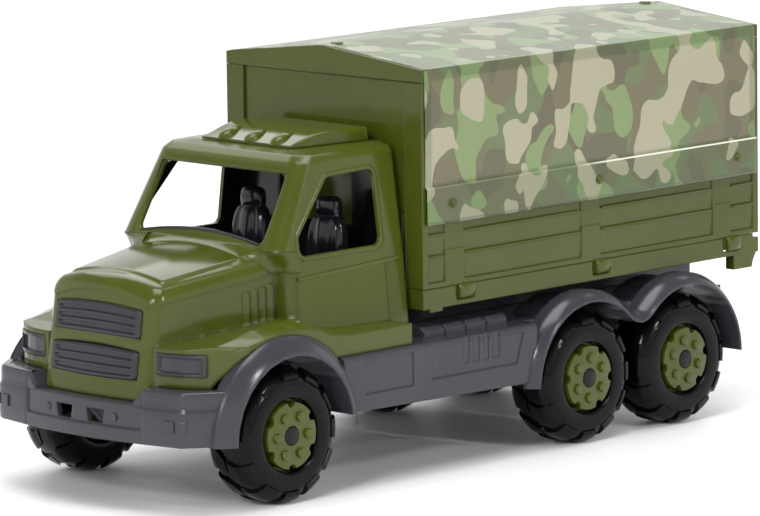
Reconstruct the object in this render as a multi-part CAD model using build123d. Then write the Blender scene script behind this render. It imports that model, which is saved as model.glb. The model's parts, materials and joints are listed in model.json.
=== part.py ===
"""Toy cargo truck with three axles, a bonneted cab and a covered load box.

Frame: +X to the front, +Y to the truck's left, +Z up, z = 0 is the floor.
Millimetres throughout. Each moulding is a node of its own.
"""
import os
from math import acos, cos, pi, radians, sin, sqrt

from build123d import *

# ---------------------------------------------------------------- driving dimensions
# flats on a rounded edge
round_steps = 4
crown_steps = 3
arch_steps = 14
hollow_steps = 4
# clearances
running_clear = 0.05     # radial, wheel on axle and tailboard on pin
fit_clear = 0.15         # per side, between mouldings that are pushed together
seat_gap = 0.3           # between mouldings that only rest on each other
cut_over = 1.0           # how far a cutter runs past a face

# wheels and axles
tyre_r = 42.1            # over the lugs
lug_height = 1.5
tyre_inner_y = 66.5
tyre_outer_y = 99.6
tyre_side_r = 34.5       # where the sidewall meets the shoulder
tyre_shoulder_w = 7.5
tyre_opening_r = 22.5
tyre_sides = 24
lug_count = 12           # in each of the two rows
lug_angle = 15.0         # degrees that a lug covers
hub_r = 20.5
hub_face_y = 99.9
hub_lip = 3.0            # the disc stands this far out of the drum
hub_sides = 16
notch_r = 2.7
notch_count = 6
notch_sides = 4
notch_depth = 1.8
cap_r = 5.6
cap_t = 2.0
cap_sides = 8
axle_r = 2.0
axle_x_front = 180.1
axle_x_middle = -83.6
axle_x_rear = -174.5

# grey chassis moulding
wall = 2.4
chassis_lip_y = 104.0    # outer lip of the wheel arches
arch_lip_r = 48.9
arch_lip_t = 1.2
arch_root_r = 60.2
arch_root_y = 95.6
arch_root_in_y = 87.0
rear_root_r = 55.8
housing_in_y = 62.0      # inboard ends of the wheel housings
valley_r = 14.0          # lip's hollow between the rear pair of wheels
valley_root_r = 10.0
skirt_y = 99.0
skirt_top_z = 80.0
skirt_front_low_z = 48.7
skirt_rear_low_z = 46.0
deck_z = 83.2
bumper_low_z = 42.1
bumper_step_z = 64.3
bumper_side_z = 75.0
bumper_mid_z = 65.6
bumper_mid_y = 42.6      # half width of the lowered middle, at its foot
bumper_mid_top_y = 51.5
bumper_nose_x = 262.5
bumper_brow_x = 257.3
bumper_brow_y = 55.0
bumper_corner_x = 252.7
bumper_corner_y = 79.6
bumper_rear_x = 225.0
bumper_back_x = 214.0
bumper_wall = 3.0
bumper_step_in = 1.5
bumper_recess = 1.2
bumper_recess_y = 50.4
bumper_recess_z = 50.7
tow_slot_in_y = 6.0
tow_slot_out_y = 21.2
tow_slot_low_z = 52.0
tow_slot_high_z = 60.0
tow_slot_taper = 1.6
rail_y = 34.0            # centre of each frame rail
rail_t = 5.0
rail_low_z = 34.0
rail_waist_z = 60.0
rail_front_x = 232.0
axle_block = 26.0        # a rail's full depth reaches this far either side of an axle
axle_hole_sides = 8      # the axles are held in flat-sided holes
panel_depth = 0.8
groove_depth = 1.2
tank_front_x = 50.0
tank_rear_x = -24.0
tank_outer_y = 85.0
tank_inner_y = 64.0
tank_top_z = 89.5
tank_round = 3.0
tank_count = 4
tank_groove = 1.6

# green cab moulding
cab_wall = 2.4
cab_rear_x = 56.0
cab_roof_z = 204.0
cab_roof_y = 63.5
cab_roof_edge = 5.0
pillar_r = 11.0          # plan radius of the front pillars
cab_belt_z = 134.0
cab_belt_y = 73.5
cab_sill_z = 97.0
cab_sill_y = 77.0
screen_base_x = 161.0
screen_base_z = 147.0
screen_top_x = 133.5
screen_top_z = 195.0
screen_low_z = 149.5     # windscreen opening
screen_high_z = 192.0
screen_low_y = 55.4
screen_high_y = 54.5
screen_arch = 5.0
brow_proud = 1.6
brow_h = 3.6
cowl_x = 153.0
door_front_x = 148.0
door_rear_x = 73.0
door_proud = 1.0
door_front_z = 130.0
door_rear_z = 134.0
window_rear_x = 73.5
window_front_x = 144.4
window_low_z = 143.0
window_high_z = 190.5
window_pillar_z = 155.0
window_pillar_x = 114.0
back_window_y = 32.0
back_window_low_z = 150.0
hood_nose_x = 252.2      # on the centre line at the base
hood_lean = 0.155        # how far the nose leans back for each millimetre up
hood_bow = 4.5
hood_front_y = 47.5
hood_rear_y = 61.0
hood_front_z = 131.0
hood_rear_z = 142.0
hood_crown = 7.0
hood_shoulder_r = 10.0
hood_nose_r = 9.0
hood_low_z = 66.4
panel_proud = 1.3        # raised panel on top of the hood
panel_front_x = 226.6
panel_front_y = 38.3
panel_rear_x = 163.0
panel_rear_y = 45.9
louvre_count = 4
louvre_rear_x = 156.0
louvre_pitch = 6.0
louvre_w = 4.2
louvre_proud = 1.2
louvre_low_z = 103.0
louvre_high_z = 127.5
louvre_step = 1.2        # each louvre's top is higher than the one in front of it
fender_y = 95.0
fender_in_y = 46.0
fender_crest_y = 82.0
fender_front_x = 243.0
fender_corner_r = 42.0
sill_rear_x = 71.0
sill_z = 96.3

# cab inserts
grille_y = 37.5
grille_depth = 4.0
grille_arch = 2.5
grille_proud = 0.6
grille_gap = 1.4         # bar left between two slots
grille_rim = 4.0
slot_depth = 2.2
slot_count = 3
upper_grille_low_z = 102.5
upper_grille_high_z = 119.0
lower_grille_low_z = 78.0
lower_grille_high_z = 94.5
lamp_low_z = 82.5
lamp_high_z = 95.5
lamp_inner_y = 49.5
lamp_outer_y = 81.0
lamp_rim = 1.8
lamp_recess = 1.2
lamp_depth = 3.2
floor_t = 3.4
dash_w = 24.0
dash_drop = 9.0
seat_y = 36.0
seat_half = 13.5
seat_rear_x = 74.0
seat_back_t = 9.0
seat_side_x = 90.0
seat_front_x = 104.0
seat_cushion_z = 112.0
seat_side_z = 126.0
seat_shoulder_z = 160.0
seat_top_z = 170.5
seat_bolster = 4.0
headrest_half = 7.5
headrest_t = 9.0
fairing_front_x = 118.0
fairing_rear_x = 59.0
fairing_front_y = 39.4
fairing_rear_y = 47.0
fairing_low = 1.2
fairing_rise = 8.0
fairing_knee_x = 84.0
fairing_wall = 1.8
bump_pitch = 23.0
bump_half = 3.6
bump_rise = 2.0

# load box
box_front_x = 51.0
box_length = 313.5
box_y = 85.5
board_in_y = 81.0
board_face_y = 84.2
board_ledge_y = 85.2
board_low_z = 113.1
board_lip_z = 116.5
board_ledge_low_z = 132.6
board_ledge_high_z = 146.3
board_top_z = 176.0
strap_w = 17.4
strap_step_z = 136.0
strap_step = 0.4
clip_w = 13.0
clip_aft = 9.2           # a clip sits this far behind its strap's centre
clip_low_z = 104.8
clip_notch = 1.2
pin_r = 1.5
pin_z = 107.8
pin_in = 2.6             # pins run this far inside the box's faces
eave_z = 249.2
roof_rise = 9.5          # the ridge over the eaves
ridge_z = eave_z + roof_rise
beam_depth = 7.8         # the end beam's foot under the eaves
beam_low_z = eave_z - beam_depth
beam_t = 5.0
post_front_y = 70.6      # inner edge of the front posts
post_rear_y = 76.5
panel_back = 1.8         # the front panel lies this far behind the posts' faces
panel_t = 2.4
flange_in_y = 66.8
flange_top_z = 159.0
flange_proud = 0.8
pole_w = 6.0
pole_h = 6.5
film_t = 0.9
film_clear = 0.15
film_low_z = 152.6
film_front_in = 2.7
film_rear_in = 3.0
platform_low_z = 100.4
platform_floor_z = 110.0
platform_wall = 2.6
rail_kerb = 6.0
rail_block_t = 7.0
front_block_x = 45.0
front_block_w = 11.0
front_block_z = 98.2
rear_block_in = 24.0     # rear block, from the box's rear face
rear_block_out = 5.4
rear_block_z = 91.0
tail_gap = 0.6
tail_clip_y = 50.0
tail_clip_w = 13.0
tail_pin_z = 106.5
tail_ring_r = 2.6
tail_face_in = 1.8       # plain face of the tailboard, inside the box's rear face
tail_ledge_in = 0.9
tail_t = 3.2
tail_ledge_h = 2.5

box_rear_x = box_front_x - box_length
wheel_centre_z = tyre_r
cab_base_z = deck_z + seat_gap
rail_rear_x = box_rear_x + rear_block_in / 2
reach = 2 * tyre_r + skirt_y      # longer than any cut is deep
axle_table = [("front", axle_x_front, 0), ("middle", axle_x_middle, 26), ("rear", axle_x_rear, 40)]   # name, x, turn
strap_table = [box_front_x - share * box_length for share in (0.0905, 0.4874, 0.8858)]     # centre x of each strap

os.makedirs("parts", exist_ok=True)


# ---------------------------------------------------------------- helpers
def block(x0, x1, y0, y1, z0, z1):
    """A box between two corners."""
    return Pos((x0 + x1) / 2, (y0 + y1) / 2, (z0 + z1) / 2) * Box(abs(x1 - x0), abs(y1 - y0), abs(z1 - z0))


def across(face_points, y0, y1):
    """Extrude an X-Z outline from y0 to y1."""
    face = make_face(Polyline([(x, y0, z) for x, z in face_points], close=True))
    return extrude(face, amount=y1 - y0, dir=(0, 1, 0))


def along(face_points, x0, x1):
    """Extrude a Y-Z outline from x0 to x1."""
    face = make_face(Polyline([(x0, y, z) for y, z in face_points], close=True))
    return extrude(face, amount=x1 - x0, dir=(1, 0, 0))


def upward(face_points, z0, z1):
    """Extrude an X-Y outline from z0 to z1."""
    face = make_face(Polyline([(x, y, z0) for x, y in face_points], close=True))
    return extrude(face, amount=z1 - z0, dir=(0, 0, 1))


def cross_rod(radius, x, z, y0, y1):
    """A cylinder along Y."""
    return Pos(x, (y0 + y1) / 2, z) * Rot(90, 0, 0) * Cylinder(radius, abs(y1 - y0))


def flat_face(corners):
    """One flat face through three or more corners."""
    return make_face(Polyline(corners, close=True)).face()


def skin_faces(sections):
    """Flat triangles that join matching closed outlines."""
    faces = []
    for near, far in zip(sections, sections[1:]):
        for i in range(len(near)):
            j = (i + 1) % len(near)
            faces += [flat_face((near[i], near[j], far[j])), flat_face((near[i], far[j], far[i]))]
    return faces


def skinned(sections):
    """A closed solid through matching closed outlines, flat at both ends."""
    ends = [flat_face(sections[0]), flat_face(sections[-1])]
    return Solid(Shell(skin_faces(sections) + ends)).clean()


def many_sided(levels, sides):
    """A flat-sided turned form about the Y axis, from (radius, y) levels."""
    corners = [2 * pi * i / sides for i in range(sides)]
    return skinned([[(radius * cos(a), y, radius * sin(a)) for a in corners] for radius, y in levels])


def octagon(radius, u, v):
    """Corners of an eight-sided bar's section."""
    return [(u + radius * cos(pi / 8 + pi / 4 * i), v + radius * sin(pi / 8 + pi / 4 * i)) for i in range(8)]


def wedge(turn, angle, y0, y1):
    """A slice about the Y axis, angle degrees wide."""
    a = radians(turn)
    half = radians(angle / 2)
    return across([(0, 0), (reach * cos(a - half), reach * sin(a - half)),
                   (reach * cos(a + half), reach * sin(a + half))], y0, y1)


def mirrored(solid):
    return mirror(solid, Plane.XZ)


def both_sides(solid):
    return [solid, mirrored(solid)]


def write(name, shape, colour):
    shape.color = Color(*colour)
    shape.label = name
    export_step(shape, f"parts/{name}.step")


green = (0.34, 0.38, 0.17)
grey = (0.31, 0.30, 0.33)
charcoal = (0.16, 0.155, 0.17)
black = (0.06, 0.06, 0.065)
steel = (0.70, 0.70, 0.72)
print_green = (0.44, 0.48, 0.31)


# ---------------------------------------------------------------- wheels
def tyre():
    """A tyre for the left side: a flat-sided carcass that carries two staggered rows of lugs."""
    def profile(grow):
        return [(tyre_side_r + grow, tyre_inner_y), (tyre_r - lug_height + grow, tyre_inner_y + tyre_shoulder_w),
                (tyre_r - lug_height + grow, tyre_outer_y - tyre_shoulder_w), (tyre_side_r + grow, tyre_outer_y)]
    middle_y = (tyre_inner_y + tyre_outer_y) / 2
    envelope = many_sided(profile(lug_height), tyre_sides)
    body = many_sided(profile(0), tyre_sides)
    rows = [(0, middle_y + lug_height, tyre_outer_y), (0.5, tyre_inner_y, middle_y - lug_height)]   # stagger, from, to
    for stagger, y0, y1 in rows:
        wedges = [wedge(360 / lug_count * (i + stagger) + lug_angle / 2, lug_angle, y0, y1) for i in range(lug_count)]
        body += [envelope & piece for piece in wedges]
    return body - many_sided([(tyre_opening_r, tyre_inner_y - cut_over), (tyre_opening_r, tyre_outer_y + cut_over)],
                             tyre_sides)


def hub():
    """A plastic hub for the left side: drum, disc with rim notches, bore and the cap's seat."""
    drum_r = tyre_opening_r * cos(pi / tyre_sides) - fit_clear
    back_y = tyre_inner_y + hub_lip
    step_y = hub_face_y - hub_lip
    body = many_sided([(drum_r, back_y), (drum_r, step_y)], hub_sides)
    body += many_sided([(hub_r, step_y - cut_over), (hub_r, hub_face_y)], hub_sides)
    body -= many_sided([(cap_r + fit_clear, hub_face_y - cap_t), (cap_r + fit_clear, hub_face_y + cut_over)], cap_sides)
    body -= cross_rod(axle_r + running_clear, 0, 0, back_y - cut_over, hub_face_y)
    notch = Pos(hub_r, 0, 0) * many_sided([(notch_r, hub_face_y - notch_depth), (notch_r, hub_face_y + cut_over)],
                                        notch_sides)
    body -= [Rot(0, 360 / notch_count * (i + 0.5), 0) * notch for i in range(notch_count)]
    return body


def cap():
    """Snap cap over the axle's end."""
    return many_sided([(cap_r, hub_face_y - cap_t + running_clear), (cap_r, hub_face_y + running_clear)], cap_sides)


left_wheel = [("tyre", tyre(), black), ("hub", hub(), green), ("hub_cap", cap(), grey)]   # name, solid, colour
for axle_name, x, turn in axle_table:
    for piece_name, solid, colour in left_wheel:
        placed = Pos(x, 0, wheel_centre_z) * Rot(0, turn, 0) * solid
        write(f"{piece_name}_{axle_name}_left", placed, colour)
        write(f"{piece_name}_{axle_name}_right", mirrored(placed), colour)
    axle_end_y = hub_face_y - cap_t - running_clear
    write(f"axle_{axle_name}", cross_rod(axle_r, x, wheel_centre_z, -axle_end_y, axle_end_y), steel)


# ---------------------------------------------------------------- chassis
def arc(centre_x, centre_z, radius, start, end, steps):
    """Points on an arc in X-Z, from one angle to another."""
    turns = [start + (end - start) * i / steps for i in range(steps + 1)]
    return [(centre_x + radius * cos(a), centre_z + radius * sin(a)) for a in turns]


def arch_outline(centres, radius, hollow_r):
    """X-Z outline over one wheel, or over two with a hollow between them, closed along the axle height."""
    z = wheel_centre_z
    front = centres[0]
    rear = centres[-1]
    if front == rear:
        return arc(front, z, radius, 0, pi, arch_steps)
    half = (front - rear) / 2
    span = radius + hollow_r
    meet = acos(half / span)
    hollow = arc(front - half, z + sqrt(span ** 2 - half ** 2), hollow_r, -meet, meet - pi, hollow_steps)
    return arc(front, z, radius, 0, pi - meet, arch_steps) + hollow[1:-1] + arc(rear, z, radius, meet, pi, arch_steps)


def arch_block(centres, radius, hollow_r, y0, y1):
    return across(arch_outline(centres, radius, hollow_r), y0, y1)


def arch_flare(centres, root_r):
    """Ring that flares out from the body side to the lip over the wheels, left side."""
    root = [(x, arch_root_y, z) for x, z in arch_outline(centres, root_r, valley_root_r)]
    lip = [(x, chassis_lip_y, z) for x, z in arch_outline(centres, arch_lip_r + arch_lip_t, valley_r)]
    body = skinned([root, lip])
    body += arch_block(centres, root_r, valley_root_r, arch_root_in_y, arch_root_y)
    return body + arch_block(centres, arch_lip_r + wall, valley_r - wall, housing_in_y, arch_root_in_y)


def bumper_face(inset, z):
    """Plan of the bumper and the sides behind it, moved in by inset."""
    half = [
        (bumper_back_x, skirt_y - inset), (bumper_rear_x, skirt_y - inset),
        (bumper_corner_x - 0.8 * inset, bumper_corner_y - 0.6 * inset), (bumper_brow_x - inset, bumper_brow_y)]
    left = [(x, y, z) for x, y in half]
    right = [(x, -y, z) for x, y in half]
    bow = ThreePointArc(left[-1], (bumper_nose_x - inset, 0, z), right[-1])
    return make_face(Polyline(left) + bow + Polyline(right[::-1]) + Line(right[0], left[0]))


def bumper_slab(inset, z0, z1):
    return extrude(bumper_face(inset, z0), amount=z1 - z0, dir=(0, 0, 1))


def bumper_middle(gap):
    """The lowered middle's room, its flanks leaning outward to the raised sides."""
    low = bumper_mid_y - gap
    high = bumper_mid_top_y - gap
    top_z = bumper_side_z + gap
    return along([(low, bumper_step_z), (low, bumper_mid_z), (high, top_z), (high, reach), (-high, reach),
                  (-high, top_z), (-low, bumper_mid_z), (-low, bumper_step_z)], 0, reach * 2)


def bumper():
    """A bowed bumper with raised sides, a recessed middle and two tow slots."""
    middle = bumper_middle(0)
    body = bumper_slab(0, bumper_low_z, bumper_step_z)
    body += bumper_slab(bumper_step_in, bumper_step_z, bumper_side_z) - middle
    body += bumper_slab(bumper_recess, bumper_step_z, bumper_mid_z) & middle
    body -= (bumper_slab(0, bumper_recess_z, bumper_side_z) - bumper_slab(bumper_recess, bumper_recess_z, bumper_side_z)
             & block(0, reach * 2, -bumper_recess_y, bumper_recess_y, bumper_recess_z, bumper_side_z))
    room = bumper_wall + bumper_step_in
    body -= bumper_slab(room, bumper_low_z - cut_over, bumper_mid_z - wall)
    body -= (bumper_slab(room, bumper_low_z, bumper_side_z - wall)
             - block(0, reach * 2, -bumper_mid_y - wall, bumper_mid_y + wall, 0, reach))
    slot = along([(tow_slot_in_y, tow_slot_high_z), (tow_slot_out_y, tow_slot_high_z),
                  (tow_slot_out_y - tow_slot_taper, tow_slot_low_z), (tow_slot_in_y + tow_slot_taper, tow_slot_low_z)],
                 bumper_back_x, bumper_nose_x + cut_over)
    return body - both_sides(slot)


# Shallow panels in the left skirt, in shares of the way from the front arch to the middle one:
# name, front, rear at the top, rear at the bottom, then the bottom's height
panel_table = [
    ("front panel", 0.022, 0.320, 0.320, 58.5),
    ("long panel", 0.433, 1.008, 0.966, 60.0),
]
groove_table = [(0.634, 0.669), (0.694, 0.733), (0.760, 0.791), (0.817, 0.859)]     # front share, rear share
groove_low_z = 66.0
panel_high_in = 0.6      # the panels' tops lie this far below the skirt's flat


def skirt_x(share):
    """Place along the skirt, from the front arch's root to the middle one's."""
    return axle_x_front - arch_root_r - share * (axle_x_front - axle_x_middle - 2 * arch_root_r)


def skirt():
    """Left side wall between the front and middle wheels, with its rounded top ledge."""
    rear_x = axle_x_middle + arch_lip_r - wall
    front_x = axle_x_front - arch_lip_r + wall
    edge = deck_z - skirt_top_z
    outline = [(skirt_y, skirt_rear_low_z), (skirt_y, skirt_top_z), (skirt_y - edge * 0.3, deck_z - edge * 0.3),
               (skirt_y - edge, deck_z), (arch_root_in_y - wall, deck_z), (arch_root_in_y - wall, deck_z - wall),
               (skirt_y - wall, deck_z - wall), (skirt_y - wall, skirt_rear_low_z)]
    body = along(outline, rear_x, front_x)
    body -= across([(front_x + cut_over, skirt_rear_low_z - cut_over), (front_x + cut_over, skirt_front_low_z),
                    (rear_x, skirt_rear_low_z - cut_over)], 0, reach)
    high_z = skirt_top_z - panel_high_in
    for name, front, rear_high, rear_low, low_z in panel_table:
        body -= across([(skirt_x(front), low_z), (skirt_x(front), high_z), (skirt_x(rear_high), high_z),
                        (skirt_x(rear_low), low_z)], skirt_y - panel_depth, skirt_y + cut_over)
    for groove_front, groove_rear in groove_table:
        body -= block(skirt_x(groove_rear), skirt_x(groove_front), skirt_y - groove_depth, skirt_y + cut_over,
                      groove_low_z, deck_z + cut_over)
    return body


def tank():
    """Row of rounded segments on the ledge behind the cab, left side."""
    outline = [(tank_inner_y, deck_z - wall / 2), (tank_inner_y, tank_top_z), (tank_outer_y - tank_round, tank_top_z),
               (tank_outer_y, tank_top_z - tank_round), (tank_outer_y, deck_z - wall / 2)]
    pitch = (tank_front_x - tank_rear_x) / tank_count
    body = along(outline, tank_rear_x, tank_front_x)
    for i in range(1, tank_count):
        x = tank_rear_x + pitch * i
        body -= along([(tank_inner_y - cut_over, tank_top_z - tank_groove), (tank_outer_y - tank_groove, tank_top_z
                      - tank_groove), (tank_outer_y - tank_groove, deck_z), (tank_outer_y + cut_over, deck_z),
                      (tank_outer_y + cut_over, tank_top_z + cut_over), (tank_inner_y - cut_over, tank_top_z
                      + cut_over)], x - tank_groove / 2, x + tank_groove / 2)
    return body


def rail():
    """Left frame rail: full depth round the axles, shallow between them."""
    top_z = platform_low_z - seat_gap
    low_deck = deck_z - wall / 2
    outline = [
        (rail_front_x, rail_waist_z), (rail_front_x, bumper_mid_z - wall / 2), (bumper_back_x, low_deck),
        (box_front_x, low_deck), (box_front_x, top_z), (rail_rear_x, top_z), (rail_rear_x, rail_waist_z),
        (axle_x_rear - axle_block, rail_low_z), (axle_x_middle + axle_block, rail_low_z),
        (axle_x_middle + 2 * axle_block, rail_waist_z), (axle_x_front - 2 * axle_block, rail_waist_z),
        (axle_x_front - axle_block, rail_low_z), (axle_x_front + axle_block, rail_low_z)]
    return across(outline, rail_y - rail_t / 2, rail_y + rail_t / 2)


def under_skirt():
    """Everything outboard that lies under the skirt's lower edge, between the wheels."""
    front_x = axle_x_front - arch_lip_r / 2
    rear_x = axle_x_middle + arch_lip_r / 2
    return across([(front_x, 0), (front_x, skirt_front_low_z), (axle_x_front - arch_lip_r, skirt_front_low_z),
                   (axle_x_middle + arch_lip_r, skirt_rear_low_z), (rear_x, skirt_rear_low_z), (rear_x, 0)],
                  housing_in_y - cut_over, reach)


def chassis():
    arch_table = [([axle_x_front], arch_root_r), ([axle_x_middle, axle_x_rear], rear_root_r)]   # axles, root radius
    body = bumper()
    body += block(axle_x_rear - arch_lip_r, bumper_rear_x, -arch_root_in_y, arch_root_in_y, deck_z - wall, deck_z)
    body += both_sides(skirt()) + both_sides(tank())
    for centres, root_r in arch_table:
        housing = arch_block(centres, arch_lip_r, valley_r + arch_lip_t, housing_in_y - cut_over, reach)
        body -= both_sides(housing)
    for centres, root_r in arch_table:
        flare = arch_flare(centres, root_r) - arch_block(centres, arch_lip_r, valley_r + arch_lip_t, 0, reach)
        body += both_sides(flare)
    body -= both_sides(under_skirt())
    body += both_sides(rail())
    for x in (rail_rear_x, box_front_x - rail_t):
        body += block(x, x + rail_t, -rail_y, rail_y, deck_z - wall, platform_low_z - seat_gap)
    for axle_name, x, turn in axle_table:
        hole_r = (axle_r + running_clear) / cos(pi / axle_hole_sides)
        body -= Pos(x, 0, wheel_centre_z) * many_sided([(hole_r, -2 * rail_y), (hole_r, 2 * rail_y)], axle_hole_sides)
    return body


write("chassis", chassis(), grey)


# ---------------------------------------------------------------- cab
def cabin_solid(inset):
    """The cabin moved in by inset: a stack of plans with round front corners."""
    roof_y = cab_roof_y + cab_roof_edge / 5
    lean = (roof_y - cab_belt_y) / (screen_top_z + brow_h - cab_belt_z)
    # height, front, half width, share of the inset that lowers it
    plan_table = [
        (hood_low_z, cowl_x, cab_sill_y, 0), (cab_sill_z, cowl_x, cab_sill_y, 0), (cab_belt_z, cowl_x, cab_belt_y, 0),
        (hood_rear_z, cowl_x, cab_belt_y + lean * (hood_rear_z - cab_belt_z), 0),
        (screen_base_z, screen_base_x, cab_belt_y + lean * (screen_base_z - cab_belt_z), 0),
        (screen_top_z + brow_h, screen_top_x, roof_y, 1),
        (cab_roof_z - cab_roof_edge / 3, screen_top_x - cab_roof_edge, cab_roof_y - cab_roof_edge / 3, 1),
        (cab_roof_z, screen_top_x - 3 * cab_roof_edge, cab_roof_y - 2 * cab_roof_edge, 1)]
    r = pillar_r - inset
    turns = [pi / 2 * i / round_steps for i in range(round_steps + 1)]
    sections = []
    for z, front, half, lowered in plan_table:
        x = front - inset - r
        y = half - inset - r
        left = [(x + r * cos(a), y + r * sin(a), z - lowered * inset) for a in turns]
        left.append((cab_rear_x + inset, half - inset, z - lowered * inset))
        sections.append(left + [(x, -y, z) for x, y, z in reversed(left)])
    return skinned(sections)


def nose_x(z, inset):
    """Front of the hood on the centre line."""
    return hood_nose_x - hood_lean * (z - hood_low_z) - inset


def hood_top(half, shoulder_z, r):
    """One side of a hood section, from the centre of its crown over the shoulder: y and z."""
    slope = 2 * hood_crown * (half - r) / half ** 2
    join_y = half - r + r * sin(slope)
    centre_z = shoulder_z + hood_crown * (1 - (join_y / half) ** 2) - r * cos(slope)
    crown = [join_y * i / crown_steps for i in range(crown_steps)]
    turns = [(pi / 2 - slope) * (1 - i / round_steps) for i in range(round_steps + 1)]
    return ([(y, shoulder_z + hood_crown * (1 - (y / half) ** 2)) for y in crown]
            + [(half - r + r * cos(a), centre_z + r * sin(a)) for a in turns])


def hood_solid(inset):
    """The hood moved in by inset: rings of matching points from the cab to the rounded, bowed nose."""
    low = hood_low_z - cut_over
    back_x = cowl_x - 2 * cab_wall
    nose_r = hood_nose_r - inset
    shoulder_r = hood_shoulder_r - inset

    def ring(half, shoulder_z, shrink, place):
        top = hood_top(half - inset - shrink, shoulder_z - inset - shrink, shoulder_r - shrink)
        upper = [(-y, z) for y, z in reversed(top[1:])] + top
        points = upper + [(y, low) for y, z in reversed(upper)]
        return [(place(y, z), y, z) for y, z in points], len(upper)

    rings = [ring(hood_rear_y, hood_rear_z, 0, lambda y, z: back_x)[0]]
    for i in range(round_steps + 1):
        turn = pi / 2 * i / round_steps
        behind = nose_r * (1 - sin(turn))
        points, count = ring(hood_front_y, hood_front_z, nose_r * (1 - cos(turn)),
                             lambda y, z: nose_x(z, inset) - behind - hood_bow * (y / hood_rear_y) ** 2)
        rings.append(points)
    faces = skin_faces(rings) + [flat_face(rings[0])]
    for i in range(count - 1):
        faces.append(flat_face((points[i], points[i + 1], points[-2 - i], points[-1 - i])))
    return Solid(Shell(faces)).clean()


# Fender top, in arch_root_r from the front axle's centre: along, then up at the side, at the crest and at the hood
fender_table = [
    (1.045, 0.904, 0.944, 0.937),
    (0.912, 0.912, 0.955, 0.945),
    (0.738, 0.920, 0.967, 0.955),
    (0.490, 0.944, 1.008, 0.967),
    (0.248, 0.998, 1.070, 0.982),
    (-0.051, 1.045, 1.108, 1.002),
    (-0.301, 1.037, 1.113, 1.042),
    (-0.500, 0.987, 1.061, 1.086),
    (-0.654, 0.929, 0.993, 1.028),
    (-0.865, 0.900, 0.929, 0.934),
]


def fender_solid(inset):
    """Left fender and sill: from the hood out to a crest, then rolling over to the side, round in plan."""
    low = hood_low_z
    y_out = fender_y - inset
    x_front = fender_front_x - inset
    sections = []
    for y, column in ((fender_in_y, 3), (fender_crest_y - inset / 2, 2), (y_out, 1)):
        top = [(min(axle_x_front + arch_root_r * row[0], x_front), wheel_centre_z + arch_root_r * row[column] - inset)
               for row in fender_table]
        outline = [(x_front, low), *top, (sill_rear_x + inset, sill_z - inset), (sill_rear_x + inset, low)]
        sections.append([(x, y, z) for x, z in outline])
    body = skinned(sections)
    r = fender_corner_r
    turns = [pi / 2 * i / (2 * round_steps) for i in range(2 * round_steps + 1)]
    corner = [(sill_rear_x, 0), (x_front, 0)]
    corner += [(x_front - r + r * cos(a), y_out - r + r * sin(a)) for a in turns] + [(sill_rear_x, y_out)]
    return body & upward(corner, 0, reach * 2)


def hood_panel():
    """Raised panel on top of the hood, tapering forward."""
    plan = upward([(panel_front_x, panel_front_y), (panel_rear_x, panel_rear_y), (panel_rear_x, -panel_rear_y),
                   (panel_front_x, -panel_front_y)], hood_front_z - 2 * hood_crown, hood_rear_z + 2 * hood_crown)
    return hood_solid(-panel_proud) & plan


def louvres():
    """Upright louvres on the left side of the hood, their tops rising to the rear."""
    pieces = []
    for i in range(louvre_count):
        x = louvre_rear_x + louvre_pitch * i
        y = hood_rear_y - (hood_rear_y - hood_front_y) * (x - cowl_x) / (hood_nose_x - cowl_x)
        top = louvre_high_z - louvre_step * i
        pieces.append(upward([(x, y - louvre_proud), (x, y + louvre_proud), (x + louvre_w, y - louvre_proud)],
                             louvre_low_z, top))
    return pieces


def door():
    """Lower door panel, a little proud of the left side."""
    outline = across([(door_rear_x, sill_z - cut_over), (door_rear_x, door_rear_z), (door_front_x, door_front_z),
                      (door_front_x, sill_z - cut_over)], 0, reach)
    return (cabin_solid(-door_proud) - cabin_solid(cab_wall / 2)) & outline


def brow():
    """Bead over the windscreen."""
    slope = (screen_base_x - screen_top_x) / (screen_top_z - screen_base_z)
    x = screen_top_x
    z = screen_top_z
    return across([(x - 2 * brow_h, z), (x - brow_h * slope + brow_proud, z + brow_h), (x + brow_proud, z + brow_h / 2),
                   (x + brow_proud, z)], -screen_high_y, screen_high_y)


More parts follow.
